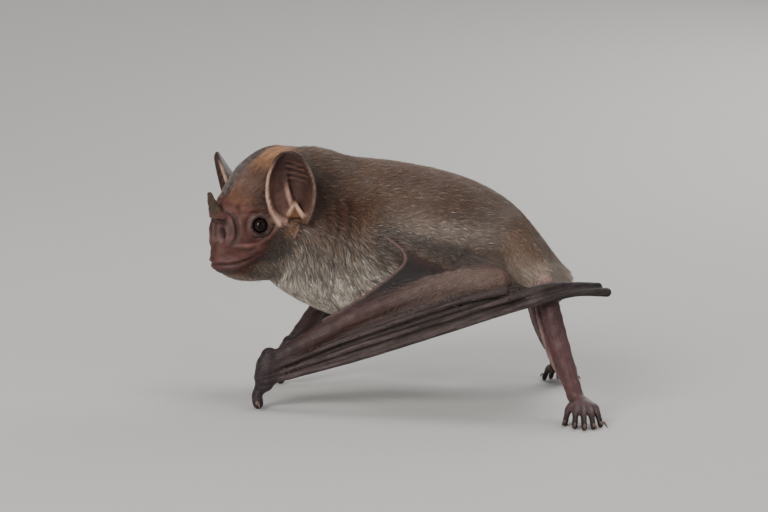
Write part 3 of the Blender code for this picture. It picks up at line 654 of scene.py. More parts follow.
# half width of a face line, then ahead, side, up, height; a furrow is below zero
FACE_LINES: Sequence[Tuple[float, Rows]] = (
    # raised folds of cheek and brow, one ahead of the eye and one behind it
    (0.55, ((12.9, 4.4, -5.6, 0.2), (11.0, 5.8, -5.4, 0.4), (8.6, 6.9, -5.0, 0.45),
     (6.0, 7.7, -3.1, 0.42), (4.3, 8.6, -1.0, 0.25))),
    (0.5, ((12.6, 4.0, -7.6, 0.15), (11.0, 5.2, -7.2, 0.35), (9.3, 6.3, -6.4, 0.35),
     (7.8, 6.8, -6.2, 0.15))),
    (0.42, ((12.1, 4.4, 2.4, 0.12), (10.7, 5.7, 2.9, 0.3), (8.8, 6.5, 2.7, 0.28),
     (7.2, 7.0, 2.0, 0.1))),
    (0.4, ((11.3, 4.6, 4.0, 0.1), (9.8, 5.6, 4.4, 0.25), (8.2, 6.1, 4.4, 0.1))),
    (0.42, ((12.1, 4.6, 0.8, 0.12), (11.9, 5.1, -0.9, 0.32), (11.5, 5.6, -2.9, 0.15))),
    (0.45, ((4.9, 8.4, 1.6, 0.1), (4.3, 8.8, -0.2, 0.3), (4.9, 8.4, -1.9, 0.1))),
    # furrows between them
    (0.42, ((12.9, 4.9, -4.3, -0.12), (11.0, 6.2, -4.4, -0.3), (9.2, 7.0, -4.0, -0.35),
     (7.0, 7.6, -3.4, -0.3), (5.6, 8.3, -1.9, -0.12))),
    (0.42, ((11.8, 5.0, -6.3, -0.12), (10.2, 6.2, -6.2, -0.32), (8.8, 6.8, -5.7, -0.12))),
    (0.32, ((11.6, 5.0, 1.7, -0.08), (10.0, 6.2, 1.9, -0.22), (8.4, 6.9, 1.7, -0.08))),
    (0.3, ((11.4, 4.8, 3.4, -0.06), (10.0, 5.8, 3.7, -0.2), (8.4, 6.4, 3.6, -0.06))),
    # foot of the leaf, rim of the pad and of the nostrils
    (0.4, ((14.9, 0.0, 0.5, 0.4), (14.8, 1.2, 0.7, 0.38), (14.3, 2.2, 1.1, 0.2))),
    (0.45, ((14.7, 1.7, 2.0, 0.12), (13.9, 2.8, 1.2, 0.3), (13.0, 3.7, -0.8, 0.38),
     (12.9, 3.95, -3.0, 0.4), (13.3, 3.5, -4.9, 0.38), (14.2, 1.9, -5.9, 0.2))),
    (0.42, ((14.9, 0.9, -1.3, 0.3), (14.95, 0.9, -3.0, 0.55), (14.8, 1.2, -4.6, 0.5))),
    (0.4, ((14.2, 2.8, -1.6, 0.2), (13.9, 3.3, -3.0, 0.5), (14.0, 3.0, -4.5, 0.45),
     (14.4, 2.2, -5.1, 0.2))),
    # nostrils and the grooves over them
    (0.5, ((14.7, 1.9, -1.9, -0.3), (14.6, 2.2, -3.0, -1.2), (14.6, 2.1, -4.2, -0.3))),
    (0.42, ((15.0, 0.6, -0.4, -0.3), (14.9, 1.6, -0.5, -0.85), (14.5, 2.4, -0.4, -0.3))),
    # furrow round the pad
    (0.36, ((14.3, 2.7, 2.4, -0.2), (13.3, 4.0, 0.9, -0.5), (12.8, 4.7, -1.6, -0.6),
     (12.8, 4.8, -3.9, -0.5), (13.4, 4.1, -5.4, -0.2))),
    # mouth, upper lip, lower lip and the cleft of the upper lip
    (0.3, ((8.2, 6.3, -6.8, -0.15), (10.8, 5.0, -8.8, -0.6), (12.8, 3.5, -9.6, -0.65),
     (14.2, 1.8, -9.8, -0.65), (14.6, 0.0, -9.8, -0.65))),
    (0.4, ((8.6, 6.2, -6.3, 0.05), (10.8, 5.2, -8.1, 0.28), (13.0, 3.7, -8.9, 0.3),
     (14.5, 1.8, -9.1, 0.3), (14.9, 0.0, -9.1, 0.22))),
    (0.36, ((9.0, 5.6, -8.2, 0.05), (10.8, 4.8, -9.5, 0.24), (12.7, 3.4, -10.2, 0.28),
     (13.9, 1.8, -10.4, 0.28), (14.2, 0.0, -10.4, 0.28))),
    (0.3, ((15.2, 0.0, -8.8, -0.35), (15.0, 0.0, -7.4, -0.25), (14.9, 0.0, -6.2, -0.1))))
# head frame: ahead, side, up, radius
LIP_FILL: Rows = ((8.6, 4.8, -7.8, 1.0), (10.8, 3.9, -9.0, 1.25), (12.6, 2.4, -9.5, 1.35),
    (13.1, 0.0, -9.6, 1.4))
MOUTH: Rows = ((8.2, 6.3, -6.8, 0.16), (10.8, 5.0, -8.8, 0.26), (12.8, 3.5, -9.6, 0.28),
    (14.0, 1.8, -9.8, 0.28), (14.5, 0.0, -9.8, 0.28))


@dataclass
class Body:
    """The whole animal as one distance field, part by part."""

    head: Head = field(default_factory=Head)
    coat: float = 0.95

    def __post_init__(self) -> None:
        """Make the limbs and ears."""
        self.ears = (Ear(self.head, 1, (1.3, 8.9, 0.4), (4.1, 10.3, 15.1), (0.5, 0.87, 0.0)),
                     Ear(self.head, -1, (-0.4, -8.5, -0.8), (4.6, -15.4, 13.0),
                         (0.86, -0.5, 0.0)))
        self.arms = (
            Arm(Tag.LEFT, -1, (25.0, -10.5, 36.0), (51.0, -20.0, 28.8), (1.5, -27.0, 9.5),
                (0, 0, -1), (13.3, 2.0, 1.9),
                ((13.0, -25.6, 19.4), (18.5, -24.6, 22.7), (23.5, -22.2, 26.2),
                 (28.0, -19.2, 29.8), (29.8, -17.6, 32.4), (28.6, -16.6, 34.6),
                 (25.6, -16.0, 36.6))),
            Arm(Tag.RIGHT, 1, (25.0, 10.5, 36.0), (35.4, 34.8, 39.0), (4.4, 4.0, 7.8),
                (0.6, 0.3, -0.75), (12.4, -4.2, -3.4),
                ((9.0, 12.6, 16.6), (12.4, 15.4, 20.6), (15.4, 17.4, 24.6),
                 (18.6, 18.4, 28.6), (21.2, 17.8, 32.0), (22.6, 16.2, 34.8),
                 (23.4, 14.8, 36.8))))
        self.legs = (Leg(Tag.LEFT, -1), Leg(Tag.RIGHT, 1))
        self.torso_rows = curve(TORSO_ROWS, 60)
        self.skull_rows = curve(self.head.skull, 40)
        self.jaw_rows = curve(self.head.jaw, 24)
        self.face_lines = [(width, self.drawn(rows, side)) for width, rows in FACE_LINES
                           for side in (1, -1) if side > 0 or rows[0][1] or rows[-1][1]]

    def strip(self, rows: Rows, side: int, count: int = 9) -> Array:
        """Smooth stations from head-frame rows ahead, side, up, radius."""
        return curve([(*self.head.at(f, w * side, u), r) for f, w, u, r in rows], count)

    def torso(self, p: Array) -> Array:
        """Trunk and neck, inset by the coat.

        Args:
            p: places, mm.
        Returns:
            Signed distance per point.
        """
        axes = np.array([(1.0, 0, 0), (0, 0, 1.0), (0, 1.0, 0)])
        low, high = np.array([-4.0, -17, 15]), np.array([69.0, 17, 56])
        return near(p, low, high, lambda q: barrel(q, np.zeros(3), axes, self.torso_rows)
                    + self.coat)

    def skull(self, p: Array) -> Array:
        """Head down to the mouth, with brow, cheeks, the puffed muzzle and the eye seats.

        Args:
            p: places, mm.
        Returns:
            Signed distance per point.
        """
        h = self.head

        def form(q: Array) -> Array:
            """Skull, face masses and eye seats.

            Args:
                q: places, mm.
            Returns:
                Signed distance per point.
            """
            d = barrel(q, h.origin, h.axes, self.skull_rows)
            d = d + h.coat * step(-h.local(q)[:, 0], -9.0, -3.0) + 0.12
            for side in (1, -1):
                for f, w, u, radii, blend in FACE_MASSES:
                    d = smin(d, ball(q, h.at(f, w * side, u), h.axes, radii), blend)
                d = self.eye_seat(q, d, side)
            return d
        return near(p, h.origin - 17.0, h.origin + 18.0, form)

    def eye_seat(self, q: Array, d: Array, side: int) -> Array:
        """Hollow round the eye, its thick lids and the round opening over the ball.

        Args:
            q: places, mm.
            d: distance so far.
            side: 1 for the right eye, -1 for the left.
        Returns:
            Signed distance per point.
        """
        eye, gaze = self.head.eye(side)
        d = smax(d, -ball(q, eye + gaze * 2.1, np.eye(3), (3.1, 3.1, 3.1)), 1.3)
        d = smin(d, ball(q, eye, np.eye(3), (2.45, 2.45, 2.45)), 0.6)
        gap = q - eye
        along = gap @ gaze
        wide = np.linalg.norm(gap - along[:, None] * gaze, axis=1)
        d = smax(d, -np.maximum(wide - 1.75, 0.6 - along), 0.15)
        return smin(d, np.hypot(wide - 2.15, along - 1.0) - 0.43, 0.7)

    def jaw(self, p: Array) -> Array:
        """Lower jaw and chin."""
        h, middle = self.head, self.head.at(7, 0, -9)
        return near(p, middle - 11, middle + 11,
                    lambda q: barrel(q, h.origin, h.axes, self.jaw_rows) + 0.35)

    def nose(self, p: Array) -> Array:
        """Fleshy horseshoe pad wrapped round the muzzle, and the leaf above it.

        Args:
            p: places, mm.
        Returns:
            Signed distance per point.
        """
        h, middle = self.head, self.head.at(14, 0, -1)
        leaf = np.array([[h.at(f, w * t, u) for t in (-1, 0, 1)] for f, w, u in
                         ((14.5, 2.2, 0.4), (15.5, 1.35, 2.2), (16.4, 0.9, 3.9),
                          (17.0, 0.3, 5.5))])
        half = np.array([[0.8], [0.55], [0.45], [0.36]])
        return near(p, middle - 9, middle + 9, lambda q: smin(
            ball(q, h.at(12.9, 0, -1.9), h.axes, (2.1, 3.8, 4.2)), plate(q, leaf, half), 0.6))

    def muzzle(self, p: Array, parts: Parts) -> Array:
        """Skull, jaw, lips and nose joined, before folds and furrows.

        Args:
            p: places, mm.
            parts: distances by part.
        Returns:
            Signed distance per point.
        """
        d = smin(parts["skull"], parts["jaw"], 0.8)
        for side in (1, -1):
            d = smin(d, rod(p, self.strip(LIP_FILL, side)), 1.4)
        return smin(d, parts["nose"], 0.6)

    def drawn(self, rows: Rows, side: int) -> Array:
        """Face line drawn onto the muzzle's surface by steps of distance over slope.

        Args:
            rows: ahead, side, up, height.
            side: 1 or -1, which cheek.
        Returns:
            Stations x, y, z, height.
        """
        line = self.strip(rows, side, 11)
        for _ in range(5):
            stack = np.vstack([line[:, :3] + c * 0.1 for c in TETRA])
            parts = {"skull": self.skull(stack), "jaw": self.jaw(stack), "nose": self.nose(stack)}
            value = self.muzzle(stack, parts).reshape(4, -1)
            slope = np.einsum("ki,kn->ni", TETRA, value) / 0.4
            size = np.maximum((slope ** 2).sum(axis=1), 0.3)
            line[:, :3] -= slope * (value.mean(axis=0) / size)[:, None]
        return line

    def upper_arm(self, p: Array, arm: Arm) -> Array:
        """Furred upper arm."""
        end = arm.s + (arm.e - arm.s) * 0.95
        return rod(p, curve([(*arm.s, 3.8), (*((arm.s + arm.e) / 2), 3.0), (*end, 2.4)], 6), 0.4)

    def forearm(self, p: Array, arm: Arm) -> Array:
        """Bowed forearm with its muscle."""
        return rod(p, arm.path(arm.forearm, 14), 0.4)

    def hand(self, p: Array, arm: Arm) -> Array:
        """Wrist, thumb and pad on the floor.

        Args:
            p: places, mm.
            arm: whose hand.
        Returns:
            Signed distance per point.
        """
        x, y, z = arm.w

        def path(*rows: Sequence[float]) -> Array:
            """Stations from rows ahead of the wrist, outward, up, radius."""
            return np.array([(x + ahead, y + out * arm.side, up, r) for ahead, out, up, r in rows])
        block = path((0.4, 0, z + 1.8, 1.85), (0.3, 0.2, z - 0.4, 2.0),
                     (0.3, 0.4, z - 2.8, 1.75), (0, 0.4, z - 4.4, 1.4))
        thumb = path((-1.0, 0.3, 4.6, 1.2), (-1.8, 0.4, 2.9, 1.05), (-1.5, 0.8, 1.15, 1.15))
        d = smin(rod(p, curve(block, 7), 0.5), rod(p, curve(thumb, 6), 0.3), 0.6)
        for part in (path((-0.6, 0.2, z - 0.4, 1.75), (-1.1, 0.4, z - 2.8, 1.55),
                          (-0.9, 0.4, z - 4.6, 1.2)),
                     path((-0.9, 0.9, z + 0.6, 1.0), (-0.8, 1.2, z - 2.0, 0.9))):
            d = smin(d, rod(p, part), 0.8)
        return d

    def fingers(self, p: Array, arm: Arm) -> Array:
        """The three long fingers with their knuckles, and the skin between two tips.

        Args:
            p: places, mm.
            arm: whose fingers.
        Returns:
            Signed distance per point.
        """
        third, fourth = arm.path(arm.third, 22), arm.path(arm.fourth, 22)
        d = rod(p, third)
        for other in (plate(p, ruled(third[13:, :3], fourth[13:, :3], 3), 0.36), rod(p, fourth),
                      rod(p, arm.path(arm.fifth, 14))):
            d = smin(d, other, 0.15)
        return d

    def fold(self, p: Array, arm: Arm) -> Array:
        """Folded wing skin: a curved plate with ridges where its pleats turn.

        Args:
            p: places, mm.
            arm: whose wing.
        Returns:
            Signed distance per point.
        """
        d = plate(p, arm.fold_grid(), 0.55)
        grid = arm.fold_grid(0.55)
        for t, r in ((0.22, 0.3), (0.38, 0.26), (0.64, 0.28), (0.86, 0.26)):
            cols = t * (grid.shape[1] - 1)
            k = int(cols)
            column = grid[:, k] * (1 - cols + k) + grid[:, k + 1] * (cols - k)
            path = curve(np.column_stack([column[1:-1], np.full(len(column) - 2, r)]), 14)
            d = smin(d, rod(p, path), 0.35)
        return d

    def web(self, p: Array, arm: Arm) -> Array:
        """Web in front of the elbow."""
        return plate(p, arm.web_grid(), 0.36)

    def thigh(self, p: Array, leg: Leg) -> Array:
        """Furred thigh."""
        mid = leg.hip * 0.45 + leg.knee * 0.55
        end = leg.hip * 0.04 + leg.knee * 0.96
        return rod(p, curve([(*leg.hip, 4.8), (*mid, 3.9), (*end, 2.1)], 8), 0.5)

    def shin(self, p: Array, leg: Leg) -> Array:
        """Bare shin with the calf toward the knee.

        Args:
            p: places, mm.
            leg: whose shin.
        Returns:
            Signed distance per point.
        """
        rows = [(*leg.knee, 2.1), (*(leg.knee * 0.6 + leg.shin_mid * 0.4), 2.05),
                (*leg.shin_mid, 2.05), (*(leg.ankle * 0.85 + leg.shin_mid * 0.15), 1.75),
                (*leg.ankle, 1.6)]
        return rod(p, curve(rows, 12), 0.4)

    def foot(self, p: Array, leg: Leg) -> Array:
        """Sole and five arched toes with joints and pads, cut flat at the floor.

        Args:
            p: places, mm.
            leg: whose foot.
        Returns:
            Signed distance per point.
        """
        sole = rod(p, curve([(*(leg.ankle + UP * 0.5), 1.3), (*leg.sole, 1.35),
                             (*leg.on(69.5, 27.0, 3.7), 1.1)], 5), 0.3)
        fan = plate(p, np.array([[leg.on(68.0, 24.6, 4.6), leg.on(70.0, 24.8, 4.5)],
                                 [leg.on(67.0, 26.6, 3.9), leg.on(71.6, 26.8, 3.8)]]), 0.85)
        toes = np.full(len(p), FAR_OFF)
        for number in range(5):
            toes = smin(toes, rod(p, leg.toe(number)), 0.12)
        return np.maximum(smin(smin(sole, fan, 1.0), toes, 0.5), -p[:, 2])

    def leg_edge(self, leg: Leg, radius: float = 0.33) -> Array:
        """Free edge of the wing skin down the front of the shin, as a rod.

        Args:
            leg: whose shin.
            radius: radius of the rod, mm.
        Returns:
            Stations x, y, z, radius.
        """
        edge = curve([leg.on(58.2, 18.0, 25.6), leg.on(59.2, 19.5, 20.6),
                      leg.on(61.2, 20.9, 14.6), leg.on(63.9, 22.0, 9.6),
                      leg.on(66.2, 22.9, 6.9)], 10)
        return np.column_stack([edge, np.full(len(edge), radius)])

    def leg_web(self, p: Array, leg: Leg) -> Array:
        """Edge of the wing skin down the front of the shin.

        Args:
            p: places, mm.
            leg: whose shin.
        Returns:
            Signed distance per point.
        """
        outer = self.leg_edge(leg)
        inner = curve([leg.knee * 0.9 + leg.shin_mid * 0.1, leg.shin_mid,
                       leg.ankle * 0.8 + leg.shin_mid * 0.2], 10)
        return smin(plate(p, ruled(outer[:, :3], inner, 4), 0.34), rod(p, outer), 0.2)

    def tail_web(self, p: Array) -> Array:
        """Narrow fringe between the legs, arched under the rump.

        Args:
            p: places, mm.
        Returns:
            Signed distance per point.
        """
        turn = np.linspace(-1, 1, 15)
        legs = np.abs(turn)[:, None]
        upper = np.array([64.8, 0, 27.2]) * (1 - legs) + np.array([60.0, 20.0, 28.4]) * legs
        bow = 1 - (1 - legs) ** 1.5
        lower = np.array([66.8, 0, 24.6]) * (1 - bow) + np.array([61.8, 21.0, 23.6]) * bow
        upper[:, 1] = 20.0 * turn
        lower[:, 1] = 21.0 * turn
        return plate(p, ruled(upper, lower, 4), 0.36)

    def parts(self, p: Array) -> Parts:
        """Distance to every part by name.

        Args:
            p: places, mm.
        Returns:
            Distances by part.
        """
        out = {"torso": self.torso(p), "skull": self.skull(p), "jaw": self.jaw(p),
               "nose": self.nose(p)}
        out["ear"] = np.minimum(*[e.distance(p) for e in self.ears])
        out["tragus"] = np.minimum(*[e.tragus(p) for e in self.ears])
        for limbs, names in ((self.arms, ("upper_arm", "forearm", "hand", "fingers", "fold",
                                          "web")),
                             (self.legs, ("thigh", "shin", "foot", "leg_web"))):
            for name in names:
                out[name] = np.minimum(*[getattr(self, name)(p, limb) for limb in limbs])
        out["tail_web"] = self.tail_web(p)
        return out

    def join(self, parts: Parts, p: Array) -> Array:
        """Blend the parts: wide fillets where flesh meets flesh, narrow ones at skin webs.

        Args:
            parts: distances by part.
            p: places, mm.
        Returns:
            Signed distance per point.
        """
        wing = smin(parts["fold"], parts["fingers"], 0.25)
        parts = {**parts, "wing": smin(wing, parts["hand"], 0.8)}
        high = np.zeros(len(p))
        for width, line in self.face_lines:
            high += relief(p, line, width)
        d = smin(parts["torso"], self.muzzle(p, parts), 2.4) - high
        for name, width in (("upper_arm", 2.2), ("thigh", 2.2), ("forearm", 0.8), ("shin", 0.8),
                            ("ear", 0.9), ("tragus", 0.7), ("wing", 0.35), ("web", 0.9),
                            ("foot", 0.5), ("leg_web", 0.5), ("tail_web", 0.6)):
            d = smin(d, parts[name], width)
        return d

    def distance(self, p: Array) -> Array:
        """Signed distance to the whole skin."""
        return self.join(self.parts(p), p)

    def gradient(self, p: Array, h: float = 0.06) -> Tuple[Array, Array]:
        """Distance and its slope by four-point differences on a tetrahedron."""
        stack = np.vstack([p + c * h for c in TETRA])
        values = self.distance(stack).reshape(4, -1)
        return values.mean(axis=0), np.einsum("ki,kn->ni", TETRA, values) / (4 * h)


# ---- surface of a distance field ----

@dataclass
class Netting:
    """Closed mesh of a distance field: one vertex in each crossed cell, drawn onto the surface."""

    low: Array
    high: Array
    cell: float
    block: int = 4

    def sample(self, field_of: Form) -> Array:
        """Distances on the grid: coarse everywhere, exact in the blocks near the surface.

        Args:
            field_of: distance per point.
        Returns:
            Distances on the grid.
        """
        coarse = self.cell * self.block
        counts = np.ceil((self.high - self.low) / coarse).astype(int) + 1
        axes = [self.low[k] + coarse * (np.arange(counts[k]) + 0.5) for k in range(3)]
        rough = field_of(np.stack(np.meshgrid(*axes, indexing="ij"), -1).reshape(-1, 3))
        grid = rough.reshape(counts).astype(np.float32)
        for axis in range(3):
            grid = np.repeat(grid, self.block, axis)
        inner = np.array(list(np.ndindex(*[self.block] * 3)))
        close = np.nonzero(np.abs(rough) < coarse * 1.05)[0]
        spots = np.stack(np.unravel_index(close, counts), -1)
        index = (spots[:, None] * self.block + inner[None]).reshape(-1, 3)
        grid[tuple(index.T)] = field_of(self.low + (index + 0.5) * self.cell)
        return grid

    def build(self, field_of: Form) -> Tuple[Array, Array]:
        """Vertices at the mean of each cell's edge crossings; a quad across every crossed edge.

        Args:
            field_of: distance per point.
        Returns:
            Vertices and quads.
        """
        grid = self.sample(field_of)
        inside = grid < 0
        corners = np.array(list(np.ndindex(2, 2, 2)))
        part = [inside[tuple(slice(c, n - 1 + c) for c, n in zip(corner, inside.shape))]
                for corner in corners]
        mixed = np.logical_or.reduce(part) & ~np.logical_and.reduce(part)
        cells = np.argwhere(mixed)
        number = np.full(mixed.shape, -1, np.int32)
        number[tuple(cells.T)] = np.arange(len(cells))
        total, count = np.zeros((len(cells), 3)), np.zeros(len(cells))
        for start in corners:
            for axis in np.nonzero(start == 0)[0]:
                end = start.copy()
                end[axis] = 1
                d0, d1 = (grid[tuple((cells + at).T)] for at in (start, end))
                cross = (d0 < 0) != (d1 < 0)
                place = np.repeat(start[None].astype(float), len(cells), 0)
                place[:, axis] = d0 / np.where(np.abs(d0 - d1) < 1e-9, 1.0, d0 - d1)
                total += place * cross[:, None]
                count += cross
        verts = self.low + (cells + total / np.maximum(count, 1)[:, None] + 0.5) * self.cell
        return verts, self.quads(inside, number)

    def quads(self, inside: Array, number: Array) -> Array:
        """Join the four cells round each grid edge whose ends differ.

        Args:
            inside: which grid points are inside.
            number: vertex number of each cell.
        Returns:
            Vertex numbers, four per quad.
        """
        faces = []
        for axis in range(3):
            u, v = (axis + 1) % 3, (axis + 2) % 3
            a = np.take(inside, range(inside.shape[axis] - 1), axis)
            b = np.take(inside, range(1, inside.shape[axis]), axis)
            spots = np.argwhere(a != b)
            spots = spots[(spots[:, u] > 0) & (spots[:, v] > 0)
                          & (spots < number.shape).all(axis=1)]
            ring = []
            for du, dv in ((1, 1), (0, 1), (0, 0), (1, 0)):
                cell = spots.copy()
                cell[:, u] -= du
                cell[:, v] -= dv
                ring.append(number[tuple(cell.T)])
            quad = np.stack(ring, 1)
            quad = np.where(a[tuple(spots.T)][:, None], quad, quad[:, ::-1])
            faces.append(quad[(quad >= 0).all(axis=1)])
        return np.vstack(faces)


# ---- markings ----

@dataclass(frozen=True)
class CoatTones:
    """Linear colours of the fur, from back to belly and over the head."""

    back: Three = (0.235, 0.148, 0.102)
    rump: Three = (0.25, 0.158, 0.11)
    flank: Three = (0.44, 0.345, 0.278)
    shoulder: Three = (0.135, 0.048, 0.022)
    nape: Three = (0.072, 0.034, 0.02)
    chest: Three = (0.74, 0.65, 0.55)
    breast: Three = (0.265, 0.19, 0.142)
    belly: Three = (0.27, 0.205, 0.16)
    crown: Three = (0.075, 0.038, 0.024)
    gold: Three = (0.72, 0.34, 0.14)
    brow: Three = (0.2, 0.088, 0.05)
    cheek: Three = (0.074, 0.029, 0.014)
    ear_front: Three = (0.1, 0.04, 0.02)
    arm: Three = (0.084, 0.067, 0.062)


@dataclass(frozen=True)
class SkinTones:
    """Linear colours of the bare skin."""

    face: Three = (0.088, 0.031, 0.023)
    face_pale: Three = (0.21, 0.092, 0.076)
    muzzle: Three = (0.072, 0.028, 0.024)
    # the nose pad's paler lower rim, also used as painted highlight on raised face folds
    nose: Three = (0.052, 0.023, 0.02)
    pad_rim_and_ridge_highlight: Three = (0.18, 0.1, 0.09)
    leaf: Three = (0.05, 0.03, 0.018)
    # furrow: painted shade, laid into the face's furrows and the hollow round each eye
    furrow: Three = (0.016, 0.006, 0.005)
    lid: Three = (0.09, 0.062, 0.054)
    lip: Three = (0.092, 0.038, 0.037)
    ear: Three = (0.034, 0.014, 0.011)
    ear_warm: Three = (0.105, 0.052, 0.04)
    # pale ear skin, also used as painted highlight on the ear's root and middle ridge
    ear_pale_and_highlight: Three = (0.62, 0.39, 0.3)
    tragus: Three = (0.115, 0.052, 0.02)
    wing: Three = (0.029, 0.019, 0.017)
    wing_ridge: Three = (0.066, 0.046, 0.044)
    forearm: Three = (0.06, 0.034, 0.031)
    forearm_elbow: Three = (0.145, 0.098, 0.078)
    wrist: Three = (0.027, 0.018, 0.02)
    shin: Three = (0.092, 0.044, 0.046)
    foot: Three = (0.07, 0.04, 0.04)
    toe: Three = (0.036, 0.022, 0.022)
    knee: Three = (0.42, 0.25, 0.24)
    web: Three = (0.014, 0.01, 0.01)
    web_edge: Three = (0.12, 0.072, 0.066)
    shin_edge: Three = (0.23, 0.165, 0.155)


def mix(a: Array, b: Sequence[float], t: Array) -> Array:
    """Blend colours or directions a toward b by t."""
    t = np.clip(t, 0, 1)[:, None]
    return a * (1 - t) + np.asarray(b) * t


def laid(col: Array, *layers: Tuple[Sequence[float], Array]) -> Array:
    """Lay tones over colours, one after the other, each by its own share."""
    for tone, share in layers:
        col = mix(col, tone, share)
    return col


def plain(tone: Sequence[float], points: Array) -> Array:
    """Give every point the same tone."""
    return np.tile(np.array(tone), (len(points), 1))


def some(share: Parts, *names: str) -> Array:
    """Share of several parts together, up to 1."""
    return np.clip(sum(share[name] for name in names), 0, 1)


def spot(points: Array, centre: Sequence[float], radii: Sequence[float]) -> Array:
    """Soft spot: 1 at the centre, 0 beyond the radii."""
    gap = (points - np.asarray(centre)) / np.asarray(radii)
    return step(np.linalg.norm(gap, axis=1), 1.0, 0.0)


